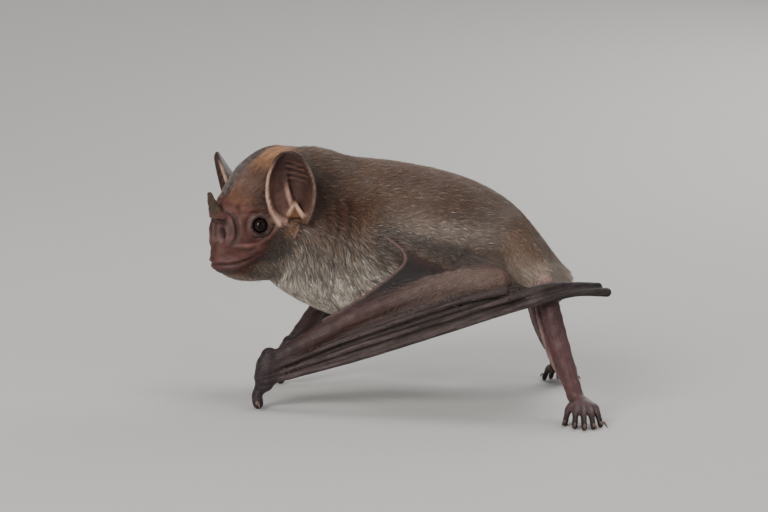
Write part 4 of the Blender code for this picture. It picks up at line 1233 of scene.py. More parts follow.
@dataclass
class Marks:
    """Where coat and bare skin lie, their colours and the lie of the hair."""

    body: Body
    fur: CoatTones = field(default_factory=CoatTones)
    skin: SkinTones = field(default_factory=SkinTones)
    # height and forward place of the border of the bare face
    face_edge: Rows = ((-14.0, 13.5), (-12.0, 11.5), (-10.0, 9.4), (-7.5, 7.6), (-4.0, 6.4),
                       (-1.0, 5.6), (1.0, 7.2), (2.5, 10.0), (4.0, 12.6), (9.0, 15.0))

    def shares(self, parts: Parts, width: float = 0.55) -> Parts:
        """Share of each part at each point, from how near its own surface is.

        Args:
            parts: distances by part.
            width: width of the passage between parts, mm.
        Returns:
            Shares by part.
        """
        low = np.min(list(parts.values()), axis=0)
        weight = {name: np.exp(-(d - low) / width) for name, d in parts.items()}
        total = np.sum(list(weight.values()), axis=0)
        return {name: w / total for name, w in weight.items()}

    def border(self, local: Array) -> Array:
        """Forward place of the border of the face at each point's height."""
        edge = np.array(self.face_edge)
        return np.interp(local[:, 2], edge[:, 0], edge[:, 1])

    def face(self, p: Array) -> Array:
        """1 on the bare face, 0 in the fur of the head."""
        local = self.body.head.local(p)
        border = self.border(local) + 0.9 * noise3(p, 2.2, 5)
        return step(local[:, 0], border - 1.5, border + 1.3)

    def bowl(self, p: Array) -> Array:
        """1 inside the mouth of an ear, where the skin is bare.

        Args:
            p: places, mm.
        Returns:
            A value per point.
        """
        out = np.zeros(len(p))
        for ear in self.body.ears:
            u, t, w, depth = ear.place(p)
            inside = step(np.abs(t), 1.08, 0.98) * step(u, -0.06, 0.03) * step(u, 1.0, 0.9)
            inside = inside * step(w - depth * (t * t - 0.35), -0.5, 0.0) * step(w, 4.6, 3.6)
            out = np.maximum(out, inside)
        return out

    def furred(self, p: Array, share: Parts) -> Array:
        """How furred a place is; the upper arm's fur thins out toward the elbow.

        Args:
            p: places, mm.
            share: shares of the parts at each place.
        Returns:
            0 bare to 1 furred, per point.
        """
        arm_fur = np.zeros(len(p))
        for arm in self.body.arms:
            run = arm.e - arm.s
            t = (p - arm.s) @ run / (run @ run)
            arm_fur = np.where(p[:, 1] * arm.side > 0, step(t, 1.02, 0.55), arm_fur)
        fur = share["torso"] + share["thigh"] * 0.98 \
            + (share["skull"] + share["jaw"]) * (1 - self.face(p)) + share["upper_arm"] * arm_fur
        return np.clip(fur, 0, 1) * (1 - self.bowl(p))

    def forearm_run(self, p: Array) -> Array:
        """Distance from the wrist along the forearm of each point's own side, mm.

        Args:
            p: places, mm.
        Returns:
            A distance per point.
        """
        run = np.zeros(len(p))
        for arm in self.body.arms:
            run = np.where(p[:, 1] * arm.side > OWN_SIDE, (p - arm.w) @ arm.run, run)
        return run

    def coat_colour(self, p: Array, share: Parts) -> Array:
        """Fur colours laid over each other from the back tone, with painted shade in the neck
        creases and painted light on the low flank.

        Args:
            p: places, mm.
            share: shares of the parts at each place.
        Returns:
            One colour per point.
        """
        tone, x, z = self.fur, p[:, 0], p[:, 2]
        wave = noise3(p, 7.0, 1) * 1.6 + noise3(p, 2.6, 2) * 0.7
        band = np.exp(-((z + wave - 37.9) / 3.3) ** 2) * step(x, 20, 30) * step(x, 54, 42)
        # the second flank layer is painted light: the low flank behind the arm lifted toward the
        # pale flank tone where shadow falls
        col = laid(plain(tone.back, p), (tone.rump, step(x, 50, 60) * 0.8), (tone.flank, band),
                   (tone.flank, step(z + wave, 35, 31) * step(x, 38, 44) * 0.9))
        for side in (1, -1):
            col = laid(col, (tone.shoulder, spot(p, (15, 11 * side, 42), (12, 14, 8))),
                       (tone.nape, spot(p, (9, 11 * side, 46), (9, 13, 11))))
        col = laid(col, (tone.breast, step(z + wave, 39.0, 34.0) * step(x, 30, 18)),
                   (tone.chest, step(z + wave, 34.5, 26.0) * step(x, 34, 22)),
                   (tone.belly, step(z + wave * 0.5, 25, 20) * step(x, 16, 30) * 0.9))
        # painted shade: dark creases in the fur of the neck behind the ear
        shaded_crease = np.min([np.abs(x - at - 0.9 * np.sin((z + wave - 36) * 0.45)) + 9.0
                         * step(np.abs(z - 40.5), 3.6, 6.0) for at in (13.0, 15.6, 10.4)], axis=0)
        col = col * (1 - 0.5 * step(shaded_crease, 0.75, 0.15) * (x > 5))[:, None]
        head = some(share, "skull", "jaw") * step(self.body.head.local(p)[:, 0] + wave, -8.0, 0.5)
        col = laid(col, (self.head_colour(p), head), (tone.arm, share["upper_arm"] * 0.85))
        return col * (1 + 0.1 * noise3(p, 5.0, 9))[:, None]

    def head_colour(self, p: Array) -> Array:
        """Fur of the head: grey-brown crown, golden temples, dark cheeks, pale chin.

        Args:
            p: places, mm.
        Returns:
            One colour per point.
        """
        tone = self.fur
        local = self.body.head.local(p)
        f, left, up = local.T
        out, side = np.abs(left), np.abs(left + 2.0)
        wave = noise3(p, 3.0, 3) * 0.9
        gold = step(side + wave * 0.6, 2.0, 3.2) * step(side + wave, 8.6, 6.4)
        gold = gold * step(f + wave, -4.5, 3.0) * step(f + wave, 9.5, 7.0) * step(up, 7.0, 11.0)
        streak = 0.65 + 0.35 * noise3(local * np.array([0.5, 2.2, 0.5]), 1.0, 14)
        lobe = spot(np.stack([f, out, up], axis=1), (2.0, 9.6, -1.6), (2.6, 3.0, 3.0))
        return laid(
            plain(tone.crown, p), (tone.nape, step(f, 0, -6)),
            (tone.brow, step(side + wave * 0.6, 1.5, 2.6) * step(f, -4.0, 2.0)),
            (tone.gold, gold * streak),
            (tone.ear_front, step(out, 5.2, 7.0) * step(up, 9.0, 5.5) * step(f, 1, 4) * 0.8),
            (tone.cheek, step(up + wave, -0.6, -3.0) * step(out, 2.0, 5.0)),
            (tone.gold, lobe * 0.7),
            (tone.breast, step(up + wave, -7.0, -10.0) * step(f, 9.0, 5.0) * 0.8),
            (tone.flank, step(up, -11.6, -12.8) * 0.8))

    def bare_colour(self, p: Array, share: Parts) -> Array:
        """Bare skin colours of face, ears, wings and legs.

        Args:
            p: places, mm.
            share: shares of the parts at each place.
        Returns:
            One colour per point.
        """
        tone, z, run = self.skin, p[:, 2], self.forearm_run(p)
        col = laid(self.face_colour(p), (tone.wing, some(share, "fingers", "fold", "hand")),
                   (tone.wing_ridge, share["fingers"] * 0.75))
        col = col * (1 - 0.5 * step(run, 56, 62) * share["fingers"])[:, None]
        lay = self.lay(p, share) * np.array([0.06, 1.9, 1.9])
        streak = noise3(lay, 1.0, 41) + 0.6 * noise3(lay * 2.1, 1.0, 42)
        col = col * (1 + 0.5 * streak * some(share, "fingers", "fold"))[:, None]
        forearm = laid(plain(tone.forearm, p), (tone.forearm_elbow, step(run, 24, 50)),
                       (tone.wrist, step(run, 14, 2)))
        col = laid(col, (tone.wrist, share["hand"]), (forearm, share["forearm"]),
                   (tone.web, share["web"] + share["tail_web"]))
        for arm in self.body.arms:
            edge = np.column_stack([curve(arm.web_edge, 13), np.full(13, 0.3)])
            col = mix(col, tone.web_edge, step(rod(p, edge), 0.35, 0.0) * share["web"])
        shin = np.array(tone.shin) * (1 - 0.45 * step(z, 16, 24))[:, None]
        col = mix(col, shin, share["shin"] + share["leg_web"] * 0.5)
        for leg in self.body.legs:
            edge = step(rod(p, self.body.leg_edge(leg, 0.3)), 0.4, 0.0)
            col = mix(col, tone.shin_edge, edge * share["leg_web"] * 0.8)
        toes = step(np.abs(p[:, 1]), 26.2, 28.5)
        foot = mix(plain(tone.foot, p), tone.toe, toes)
        # painted highlight: the tops of the foot and toes lighter, the undersides darker
        foot = foot * (0.8 + 1.3 * step(z, 1.9, 3.6) * (0.4 + 0.6 * toes))[:, None]
        knee = np.min([np.linalg.norm(p - leg.knee, axis=1) for leg in self.body.legs], axis=0)
        ear = np.clip(share["ear"] + share["tragus"] + self.bowl(p), 0, 1)
        return laid(col, (foot, share["foot"]), (tone.knee, step(knee, 3.0, 2.0) * 0.7),
                    (self.ear_colour(p), ear))

    def face_colour(self, p: Array) -> Array:
        """Pinkish face, paler brow and cheek, lid ring and lips; painted shade in furrows, nose
        grooves, round the eyes and under the chin; painted highlights on folds.

        Args:
            p: places, mm.
        Returns:
            One colour per point.
        """
        tone, head = self.skin, self.body.head
        f, left, up = head.local(p).T
        q = np.stack([f, np.abs(left), up], axis=1)
        speck = 0.22 * noise3(p, 1.6, 7) + 0.24 * noise3(p, 0.55, 8)
        col = plain(tone.face, p) * np.clip(1 + speck, 0.5, 1.6)[:, None]
        col = mix(col, tone.muzzle, step(f, 9.5, 12.5) * step(up, 3, 0) * 0.8)
        # the two furrow patches are painted shade in the furrows under and behind the eye
        for patch, centre, radii, share in (
                (tone.face_pale, (10.2, 6.0, 1.6), (2.6, 2.4, 1.9), 0.7),
                (tone.face_pale, (10.8, 6.4, -5.0), (2.6, 2.0, 1.5), 0.8),
                (tone.face_pale, (6.4, 8.0, -3.6), (2.4, 2.4, 1.0), 0.7),
                (tone.furrow, (7.4, 6.6, -3.5), (1.8, 2.2, 1.0), 0.75),
                (tone.furrow, (9.4, 6.2, -6.6), (2.8, 2.2, 0.8), 0.5)):
            col = mix(col, patch, spot(q, centre, radii) * share)
        gap = np.linalg.norm(q - np.array(head.eye_seat), axis=1)
        col = mix(col, tone.muzzle, step(gap, 4.4, 3.0) * 0.6)
        for turn in (1, -1):
            eye, gaze = head.eye(turn)
            away = p - eye
            along = away @ gaze
            wide = np.sqrt(np.maximum((away ** 2).sum(axis=1) - along ** 2, 0))
            front = step(along, -0.6, 0.2)
            # painted shade in the hollow between lid and eyeball; the lid ring is the lid's own
            # colour
            col = laid(col, (tone.furrow, step(wide, 2.3, 2.05) * front * 0.95),
                       (tone.lid, step(np.abs(wide - 2.42), 0.32, 0.1) * front * 0.9))
        # painted shade: bare face darkened below the mouth, under the chin
        col = col * (1 - 0.35 * step(up, -9.2, -11.0))[:, None]
        pad = step(ball(p, head.at(12.9, 0, -2.3), head.axes, (2.5, 4.1, 4.3)), 0.35, -0.05)
        col = laid(col, (tone.nose, pad), (tone.pad_rim_and_ridge_highlight, pad * step(up, -2.4, -5.0) * 0.45),
                   (tone.leaf, step(f, 14.2, 15.4) * step(up, 0.6, 2.2)))
        # painted shade deepening with each furrow's depth; painted highlight rising with each
        # fold's height, stronger on the pad
        for width, line in self.body.face_lines:
            high = relief(p, line, width * 0.9)
            col = laid(col, (tone.furrow, np.clip(-high * 2.8, 0, 0.95)),
                       (tone.pad_rim_and_ridge_highlight, np.clip(high * 1.3, 0, 0.6) * (0.45 + 0.55 * pad)))
        mouth = np.minimum(*[rod(p, self.body.strip(MOUTH, s, 12)) for s in (1, -1)]) - 0.2
        return mix(col, tone.lip, step(mouth, 0.9, 0.35) * step(mouth, 0.05, 0.2) * 0.7)

    def ear_colour(self, p: Array) -> Array:
        """Dark cup with warm inner bands and a pale front rim; painted highlights on the root and
        the middle ridge, painted light and shade across the ribs.

        Args:
            p: places, mm.
        Returns:
            One colour per point.
        """
        # pale: pale ear skin, and painted highlight on the root and the middle ridge
        warm, pale = self.skin.ear_warm, self.skin.ear_pale_and_highlight
        col = plain(self.skin.ear, p)
        for ear in self.body.ears:
            u, t, w, deep = ear.place(p)
            over_cup = w - deep * (t * t - 0.35)
            inner = step(over_cup, 0.0, 0.3)
            # painted light and shade: rib crests warmer, the hollows between them darkened
            ribs = np.sin(u * 72 - 6.0 * t) * step(t, 0.25, 0.0) * step(t, -0.9, -0.7)
            ribs = ribs * inner * step(u, 0.5, 0.64) * step(u, 0.93, 0.84)
            own = laid(col, (warm, inner * step(t, 0.05, 0.5) * step(u, 0.9, 0.5) * 0.8),
                       (warm, step(np.abs(t + 0.35), 0.3, 0.05) * step(u, 0.75, 0.5)
                        * step(u, 0.2, 0.35) * 0.4),
                       (warm, ribs * 0.9)) * (1 + 0.5 * np.minimum(ribs, 0))[:, None]
            # ridge: painted highlight along the middle ridge of the inner cup
            ridge = step(np.abs(t - 0.08 - 0.5 * (u - 0.4)), 0.13, 0.02) * step(u, 0.62, 0.4)
            rim = step(np.abs(t), 0.965, 1.01) * step(u, 0.95, 0.7) \
                * step(w - deep * 0.62, -0.3, 0.05)
            # root: painted highlight on the fleshy front root of the ear
            root = step(rod(p, ear.root_rod()), 0.35, -0.15) * step(u, 0.2, 0.05)
            flap = np.minimum(*[rod(p, path) for path in ear.tragus_edges()])
            own = laid(
                own, (pale, inner * step(u, 0.52, 0.08) * step(np.abs(t - 0.55), 0.5, 0.1) * 0.16),
                (warm, step(over_cup, 0.5, 1.3) * step(u, 0.7, 0.5) * 0.8),
                (pale, ridge * inner * step(u, 0.16, 0.26) * 0.55),
                (pale, rim * np.where(t > 0, 0.6, 0.25)),
                (pale, inner * step(u, 0.26, 0.02) * step(t, 0.72, 0.95) * 0.9),
                (pale, root * 0.8), (pale, step(rod(p, ear.hem()), 0.25, 0.0) * 0.15),
                (self.skin.tragus, step(ear.tragus(p), 0.3, 0.05)),
                (pale, step(flap, 0.15, -0.05) * 0.85))
            col = np.where((np.linalg.norm(p - ear.base, axis=1) < 20)[:, None], own, col)
        return col

    def lie(self, p: Array, n: Array, share: Parts) -> Array:
        """Direction the hair points: back over the head, rearward and down the sides,
        down the chest and out along the limbs, turned a little by noise, in the skin's plane.

        Args:
            p: places, mm.
            n: outward directions.
            share: shares of the parts at each place.
        Returns:
            Unit direction per point.
        """
        head, x, z = self.body.head, p[:, 0], p[:, 2]
        chest = step(z, 44, 33) * step(x, 30, 12)
        way = mix(plain((1.0, 0.0, -0.16), p), (0.38, 0.0, -0.92), chest) \
            + np.outer(step(x, 48, 62), (-0.2, 0.0, -0.55))
        own = mix(plain(head.turn((-1.0, 0.0, 0.25)), p), head.turn((-0.75, 0.0, -0.66)),
                  step(head.local(p)[:, 2], 1.0, -6.0))
        way = mix(way, own, share["skull"] + share["jaw"] + 0.5 * share["nose"])
        runs = [run for a in self.body.arms for run in (
            ("upper_arm", a, 0, unit(a.e - a.s)), ("forearm", a, OWN_SIDE, -a.run))]
        runs += [("thigh", leg, 0, unit(leg.knee - leg.hip)) for leg in self.body.legs]
        for name, limb, edge, run in runs:
            way = mix(way, run, (p[:, 1] * limb.side > edge) * share[name])
        turn = 0.42 * noise3(p, 4.0, 11) + 0.3 * noise3(p, 1.3, 12)
        way = unit(way - n * np.einsum("ij,ij->i", way, n)[:, None])
        return unit(way + np.cross(n, way) * turn[:, None])

    def shaggy(self, p: Array, share: Parts) -> Array:
        """Where the hair is long and loose: chest, throat and low flank.

        Args:
            p: places, mm.
            share: shares of the parts at each place.
        Returns:
            0 short to 1 loose, per point.
        """
        head = some(share, "skull", "jaw")
        trunk = step(p[:, 2], 41, 33) * step(p[:, 0], 34, 22)
        chin = step(self.body.head.local(p)[:, 2], -7.0, -11.0)
        return np.clip(trunk * (1 - head) + head * chin * 0.7, 0, 1)

    def length(self, p: Array, share: Parts) -> Array:
        """Hair length in mm: longest on chest and flank, shortest toward the face.

        Args:
            p: places, mm.
            share: shares of the parts at each place.
        Returns:
            A length per point.
        """
        size = 2.9 + 2.3 * self.shaggy(p, share) + 0.4 * step(p[:, 2], 38, 30)
        local = self.body.head.local(p)
        behind = self.border(local) - local[:, 0]
        own = 1.05 + 0.26 * np.clip(behind, 0, 8) - 0.4 * step(-behind, 0.0, 1.5)
        for part, value in ((some(share, "skull", "jaw"), own),
                            (some(share, "forearm", "shin", "ear"), 1.4)):
            size = size * (1 - part) + value * part
        return size * (1 - 0.3 * share["upper_arm"] - 0.2 * share["thigh"])

    def lay(self, p: Array, share: Parts) -> Array:
        """Place along and across the limb or body, in mm, for lengthwise patterns.

        Args:
            p: places, mm.
            share: shares of the parts at each place.
        Returns:
            Three values per point.
        """
        out = p.copy()
        wing = share["fold"] + share["fingers"] + share["forearm"] + share["hand"] > 0.4
        shin = share["shin"] + share["leg_web"] > 0.4
        for arm in self.body.arms:
            pick = wing & (p[:, 1] * arm.side > OWN_SIDE)
            out[pick] = (p[pick] - arm.w) @ np.array([arm.run, arm.hang, arm.out]).T
        for leg in self.body.legs:
            pick = shin & (p[:, 1] * leg.side > 0)
            run, gap = unit(leg.ankle - leg.knee), p[pick] - leg.knee
            along = gap @ run
            out[pick] = np.column_stack([along, (gap - along[:, None] * run)[:, :2]])
        return out


# ---- skin mesh ----

def make_object(name: str, verts: Array, faces: Array) -> Piece:
    """Make a smooth mesh object from points in design mm.

    Args:
        name: object and mesh name.
        verts: points in design mm.
        faces: corner numbers, all faces with as many corners.
    Returns:
        The object, its place in its mesh, in metres.
    """
    mesh = bpy.data.meshes.new(name)
    count, sides = faces.shape
    mesh.vertices.add(len(verts))
    mesh.vertices.foreach_set("co", ((verts + SHIFT) * MM).astype(np.float32).ravel())
    mesh.loops.add(faces.size)
    mesh.loops.foreach_set("vertex_index", faces.astype(np.int32).ravel())
    mesh.polygons.add(count)
    mesh.polygons.foreach_set("loop_start", np.arange(0, faces.size, sides, dtype=np.int32))
    mesh.polygons.foreach_set("loop_total", np.full(count, sides, np.int32))
    mesh.update(calc_edges=True)
    mesh.polygons.foreach_set("use_smooth", np.full(count, True))
    return link(bpy.data.objects.new(name, mesh))


def link(item: Piece) -> Piece:
    """Put an object in the scene."""
    bpy.context.scene.collection.objects.link(item)
    return item


def paint(item: Piece, name: str, colours: Array) -> None:
    """Store colours, or one value for all channels, per vertex as an attribute.

    Args:
        item: piece to store them on.
        name: name of the attribute.
        colours: one per vertex.
    """
    rgba = np.ones((len(colours), 4), np.float32)
    rgba[:, :3] = colours if colours.ndim > 1 else colours[:, None]
    item.data.color_attributes.new(name, "FLOAT_COLOR", "POINT") \
        .data.foreach_set("color", rgba.ravel())


@dataclass
class Skin:
    """One closed skin over every part of flesh."""

    body: Body
    marks: Marks
    low: Three = (-17.5, -39.5, -1.6)
    high: Three = (80.5, 47.5, 57.5)
    cell: float = 0.4
    budget: int = 190000              # triangles
    under_coat_shade: float = 0.62          # tint of furred skin as a share of the coat's: painted shade between the hairs

    def build(self) -> Piece:
        """Net the distance field, thin the mesh, draw it onto the field and colour it.

        Returns:
            The skin.
        """
        verts, quads = Netting(np.array(self.low), np.array(self.high), self.cell) \
            .build(self.body.distance)
        verts, self.tris = self.thin(self.settle(verts), quads)
        self.verts = self.settle(verts)
        self.verts[:, 2] = np.maximum(self.verts[:, 2], 0.0)
        self.normals = unit(self.body.gradient(self.verts, 0.12)[1])
        item = make_object("skin", self.verts, self.tris)
        self.dress(item)
        return item

    def settle(self, verts: Array) -> Array:
        """Move points onto the surface: two steps of distance over slope.

        Args:
            verts: places, mm.
        Returns:
            The places moved.
        """
        for _ in range(2):
            d, slope = self.body.gradient(verts)
            size = np.maximum((slope ** 2).sum(axis=1), 0.2)
            verts = verts - slope * np.clip(d / size, -0.4, 0.4)[:, None]
        return verts

    def thin(self, verts: Array, quads: Array) -> Tuple[Array, Array]:
        """Collapse edges to the budget, keeping the bare parts' detail.

        Args:
            verts: places, mm.
            quads: vertex numbers, four per quad.
        Returns:
            Vertices and triangles.
        """
        mesh = bpy.data.meshes.new("net")
        mesh.from_pydata(verts.tolist(), [], quads.tolist())
        item = link(bpy.data.objects.new("net", mesh))
        fur = self.marks.furred(verts, self.marks.shares(self.body.parts(verts)))
        group = item.vertex_groups.new(name="plain")
        for level in range(11):
            pick = np.nonzero(np.round(fur * 10) == level)[0]
            group.add(pick.tolist(), level / 10, "REPLACE")
        thinner = item.modifiers.new("thin", "DECIMATE")
        thinner.ratio = min(1.0, self.budget / (2 * len(quads)))
        thinner.vertex_group = "plain"
        thinner.vertex_group_factor = 0.25
        thinner.use_collapse_triangulate = True
        done = item.evaluated_get(bpy.context.evaluated_depsgraph_get()).data
        out = np.empty(len(done.vertices) * 3)
        done.vertices.foreach_get("co", out)
        loops = np.empty(len(done.loops), np.int32)
        done.loops.foreach_get("vertex_index", loops)
        bpy.data.objects.remove(item)
        return out.reshape(-1, 3), loops.reshape(-1, 3)

    def dress(self, item: Piece) -> None:
        """Store tint, finish masks and lay for the material.

        Args:
            item: the skin.
        """
        self.share = share = self.marks.shares(self.body.parts(self.verts))
        self.fur = fur = self.marks.furred(self.verts, share)
        # painted shade: the skin under the fur is the coat colour darkened
        coat = self.marks.coat_colour(self.verts, share) * self.under_coat_shade
        paint(item, "tint", mix(self.marks.bare_colour(self.verts, share), coat, fur))
        wing = np.clip(share["fold"] + share["fingers"] + share["forearm"] * 0.6 + share["hand"]
                       + share["leg_web"] * 0.6 + share["shin"] * 0.5, 0, 1)
        moist = np.clip(share["nose"] + self.marks.face(self.verts) * share["skull"], 0, 1)
        paint(item, "finish", np.stack([fur, wing, moist], axis=1))
        paint(item, "lay", self.marks.lay(self.verts, share))


# ---- coat ----

@dataclass(frozen=True)
class Kind:
    """One kind of tuft: its triangles and its painted shade from root to tip."""

    tris: Tuple[Tuple[int, int, int], ...]
    shade: Tuple[float, ...]
    bent: bool
    size: float


# shade: painted shade darkens each tuft toward its root, the tip is lighter
BENT = Kind(((0, 2, 1), (0, 1, 4), (0, 4, 3), (1, 2, 5), (1, 5, 4), (2, 0, 3), (2, 3, 5),
             (3, 4, 6), (4, 5, 6), (5, 3, 6)), (0.55, 0.55, 0.55, 0.92, 0.92, 0.98, 1.22),
            True, 1.0)
STRAIGHT = Kind(((0, 2, 1), (0, 1, 3), (1, 2, 3), (2, 0, 3)), (0.62, 0.62, 0.66, 1.22),
                False, 0.8)
REGIONS = ("trunk_left", "trunk_right", "head_left", "head_right", "limbs_left", "limbs_right")


@dataclass
class Tufts:
    """All tufts of one kind: triangles, points, colours, region, place on its unwrap."""

    tris: Array
    points: Array
    tints: Array
    region: Array
    place: Array


@dataclass
class Coat:
    """Tapered three-sided tufts over the skin: straight short ones and long bent ones."""

    skin: Skin
    marks: Marks
    body: Body
    bent_density: float = 10.0        # long bent tufts to the square mm at full fur
    short_density: float = 24.0       # short straight tufts
    arm_density: float = 9.0          # short tufts on the bare forearm
    face_density: float = 2.5         # short tufts on the bare face
    half_width: float = 0.115         # mm at the root
    sink: float = 0.15                # root below the skin, mm
    seed: int = 7
    patch: float = 0.003              # width of a tuft's patch in the bake layout
    most: int = 185000                # triangles to a piece

    def roots(self, bent: bool) -> None:
        """Scatter roots over the furred triangles, as many as area, length and fur ask for.

        Args:
            bent: whether the tufts to be rooted bend.
        """
        skin, marks, t = self.skin, self.marks, self.skin.tris
        a, b, c = (skin.verts[t[:, k]] for k in range(3))
        area = np.linalg.norm(np.cross(b - a, c - a), axis=1) / 2
        fur = skin.fur[t].mean(axis=1)
        middle = skin.verts[t].mean(axis=1)
        share = {k: s[t].mean(axis=1) for k, s in skin.share.items()}
        loose = marks.shaggy(middle, share)
        if bent:
            want = self.bent_density * (0.12 + 0.88 * loose)
        else:
            want = self.short_density * (1 - 0.72 * loose) \
                * (1 + 0.35 * (share["skull"] + share["jaw"]))
        want = want * area * fur ** 1.5 * (fur > 0.03)
        if not bent:
            run = marks.forearm_run(middle)
            want = want + area * share["forearm"] * self.arm_density \
                * (step(run, 24, 40) + step(run, 40, 48))
            bare = marks.face(middle) * share["skull"] * (1 - marks.bowl(middle)) \
                * step(self.body.head.local(middle)[:, 0], 11.4, 10.4)
            want = want + area * bare * self.face_density
        count = np.floor(want + self.rng.random(len(want))).astype(int)
        pick = t[np.repeat(np.arange(len(t)), count)]
        r1, r2 = np.sqrt(self.rng.random(len(pick))), self.rng.random(len(pick))
        w = np.stack([1 - r1, r1 * (1 - r2), r1 * r2], axis=1)
        self.p = (skin.verts[pick] * w[..., None]).sum(axis=1)
        self.n = unit((skin.normals[pick] * w[..., None]).sum(axis=1))
        self.share = {k: (s[pick] * w).sum(axis=1) for k, s in skin.share.items()}
        self.fur = (skin.fur[pick] * w).sum(axis=1)

    def shapes(self, kind: Kind) -> Tuple[Array, Array]:
        """Points and colours of every tuft.

        A bent tuft has a ring of three points at its root, one of three at 45 % of its length
        and a tip; a straight one has its root ring and tip only. It leaves the skin at a slant:
        middle and tip are set at their own heights over the skin by the distance field.

        Args:
            kind: long bent tufts, or short straight ones.
        Returns:
            Points (tufts, 7 or 4, 3) and colours of the same shape.
        """
        rng, p, n = self.rng, self.p, self.n
        way = self.marks.lie(p, n, self.share)
        count = len(p)
        size = self.marks.length(p, self.share) * rng.uniform(0.75, 1.2, count) * kind.size
        head = some(self.share, "skull", "jaw")
        loose = self.marks.shaggy(p, self.share)
        wide = self.half_width * np.clip(0.5 + 0.5 * size / 2.4, 0.5, 1.1) * (1 - 0.22 * loose)
        wide = wide * rng.uniform(0.7, 1.25, count)
        depth = self.body.coat * (1 - head) + self.body.head.coat * head
        depth = depth * np.clip(size / 2.0, 0.35, 1.0)
        lift = depth * (0.55 + 0.4 * rng.random(count) + 0.55 * loose * rng.random(count))
        side = np.cross(n, way)
        sway = rng.normal(0, 0.1, count) + noise3(p, 1.1, 21) * (0.15 + 0.25 * loose)
        way = unit(way + side * sway[:, None])
        curl = side * (noise3(p, 1.7, 22) * 0.2 * loose)[:, None]
        tip = self.over(p + unit(way + curl) * size[:, None], n, lift)
        side = np.cross(n, way)
        rings = [(p - n * self.sink, 1.0)]
        if kind.bent:
            rings.append((self.over(p + way * (size * 0.45)[:, None], n, lift * 0.75), 0.78))
        pts = np.empty((count, len(kind.shade), 3))
        for level, (middle, share) in enumerate(rings):
            for k, angle in enumerate(np.radians((-150.0, -30.0, 90.0))):
                ring = side * (wide * np.cos(angle))[:, None] \
                    + n * (wide * 0.55 * np.sin(angle))[:, None]
                pts[:, 3 * level + k] = middle + ring * share
        pts[:, -1] = tip
        return pts, self.colours(loose, kind)

    def over(self, points: Array, n: Array, height: Array) -> Array:
        """Set points at their own height over the skin."""
        d, slope = self.body.gradient(points, 0.25)
        return points + unit(slope + n * 0.3) * np.clip(height - d, -1.6, 1.6)[:, None]

    def colours(self, loose: Array, kind: Kind) -> Array:
        """Coat colour, with painted shade darkening the root and a lighter tip, uneven from tuft
        to tuft.

        Args:
            loose: how loose the hair is, 0 to 1.
            kind: kind of tuft.
        Returns:
            One colour per point.
        """
        rng, p = self.rng, self.p
        bare = self.marks.bare_colour(p, self.share) * 1.5 + 0.02
        base = mix(bare, self.marks.coat_colour(p, self.share), step(self.fur, 0.1, 0.5))
        level = 1 + 0.11 * rng.normal(0, 1, len(p)) + 0.14 * noise3(p, 0.7, 31) \
            + 0.09 * noise3(p, 2.8, 32) + loose * (0.16 * noise3(p, 1.0, 33))
        base = base * np.clip(level, 0.45, 1.8)[:, None]
        grey = base.mean(axis=1, keepdims=True)
        pale = rng.random(len(p))[:, None] < 0.1 + 0.08 * loose[:, None]
        base = np.where(pale, base * 0.5 + grey * 1.05, base)
        # painted shade: each tuft darker at its root, lighter at its tip
        return base[:, None, :] * np.array(kind.shade)[None, :, None]

    def region(self) -> Tuple[Array, Array]:
        """Region of each tuft and its root's place on that region's unwrap.

        The trunk is unrolled round its long axis, the head round the nose's axis, and each
        limb along its own run.

        Returns:
            Numbers in REGIONS, and places: length along in mm, share of the way round.
        """
        share, (x, y, z) = self.share, self.p.T
        ahead, left, up = self.body.head.local(self.p).T
        head = share["skull"] + share["jaw"] + share["nose"] > 0.5
        limb = share["upper_arm"] + share["thigh"] + share["forearm"] + share["shin"] > 0.5
        cases, out = [head, limb & ~head], np.abs(y)
        number = np.select(cases, [np.where(left > 0, 2, 3), np.where(y < 0, 4, 5)],
                           np.where(y < 0, 0, 1))
        turn = np.select(cases, [np.arctan2(np.abs(left), up - 1.0) / np.pi,
                                 np.arctan2(z - 32, out - 16) / (2 * np.pi) + 0.5],
                         np.arctan2(out, z - 34.0) / np.pi)
        along = np.select(cases, [ahead, out + 60.0 * (x > 46)], x)
        return number, np.stack([along, turn], axis=1)

    def build(self) -> List[Piece]:
        """Make both kinds of tufts and cut each region into pieces of even size.

        Returns:
            The pieces of the coat.
        """
        self.rng = np.random.default_rng(self.seed)
        kinds, out = [], []
        for kind in (BENT, STRAIGHT):
            self.roots(kind.bent)
            kinds.append(Tufts(np.array(kind.tris), *self.shapes(kind), *self.region()))
        for number, name in enumerate(REGIONS):
            own = [np.nonzero(kind.region == number)[0] for kind in kinds]
            along = np.concatenate([kind.place[pick, 0] for kind, pick in zip(kinds, own)])
            cost = np.repeat([len(kind.tris) for kind in kinds], [len(pick) for pick in own])
            order = np.argsort(along)
            pieces = int(np.ceil(cost.sum() / self.most))
            total = np.cumsum(cost[order])
            marks = [along[order][min(np.searchsorted(total, total[-1] * k / pieces),
                                      len(order) - 1)] for k in range(pieces + 1)]
            marks[-1] += 0.01
            for k, ends in enumerate(zip(marks[:-1], marks[1:])):
                picks = [pick[(kind.place[pick, 0] >= ends[0]) & (kind.place[pick, 0] < ends[1])]
                         for kind, pick in zip(kinds, own)]
                out.append(self.piece(f"coat_{name}_{k + 1}", kinds, picks, ends))
        return out

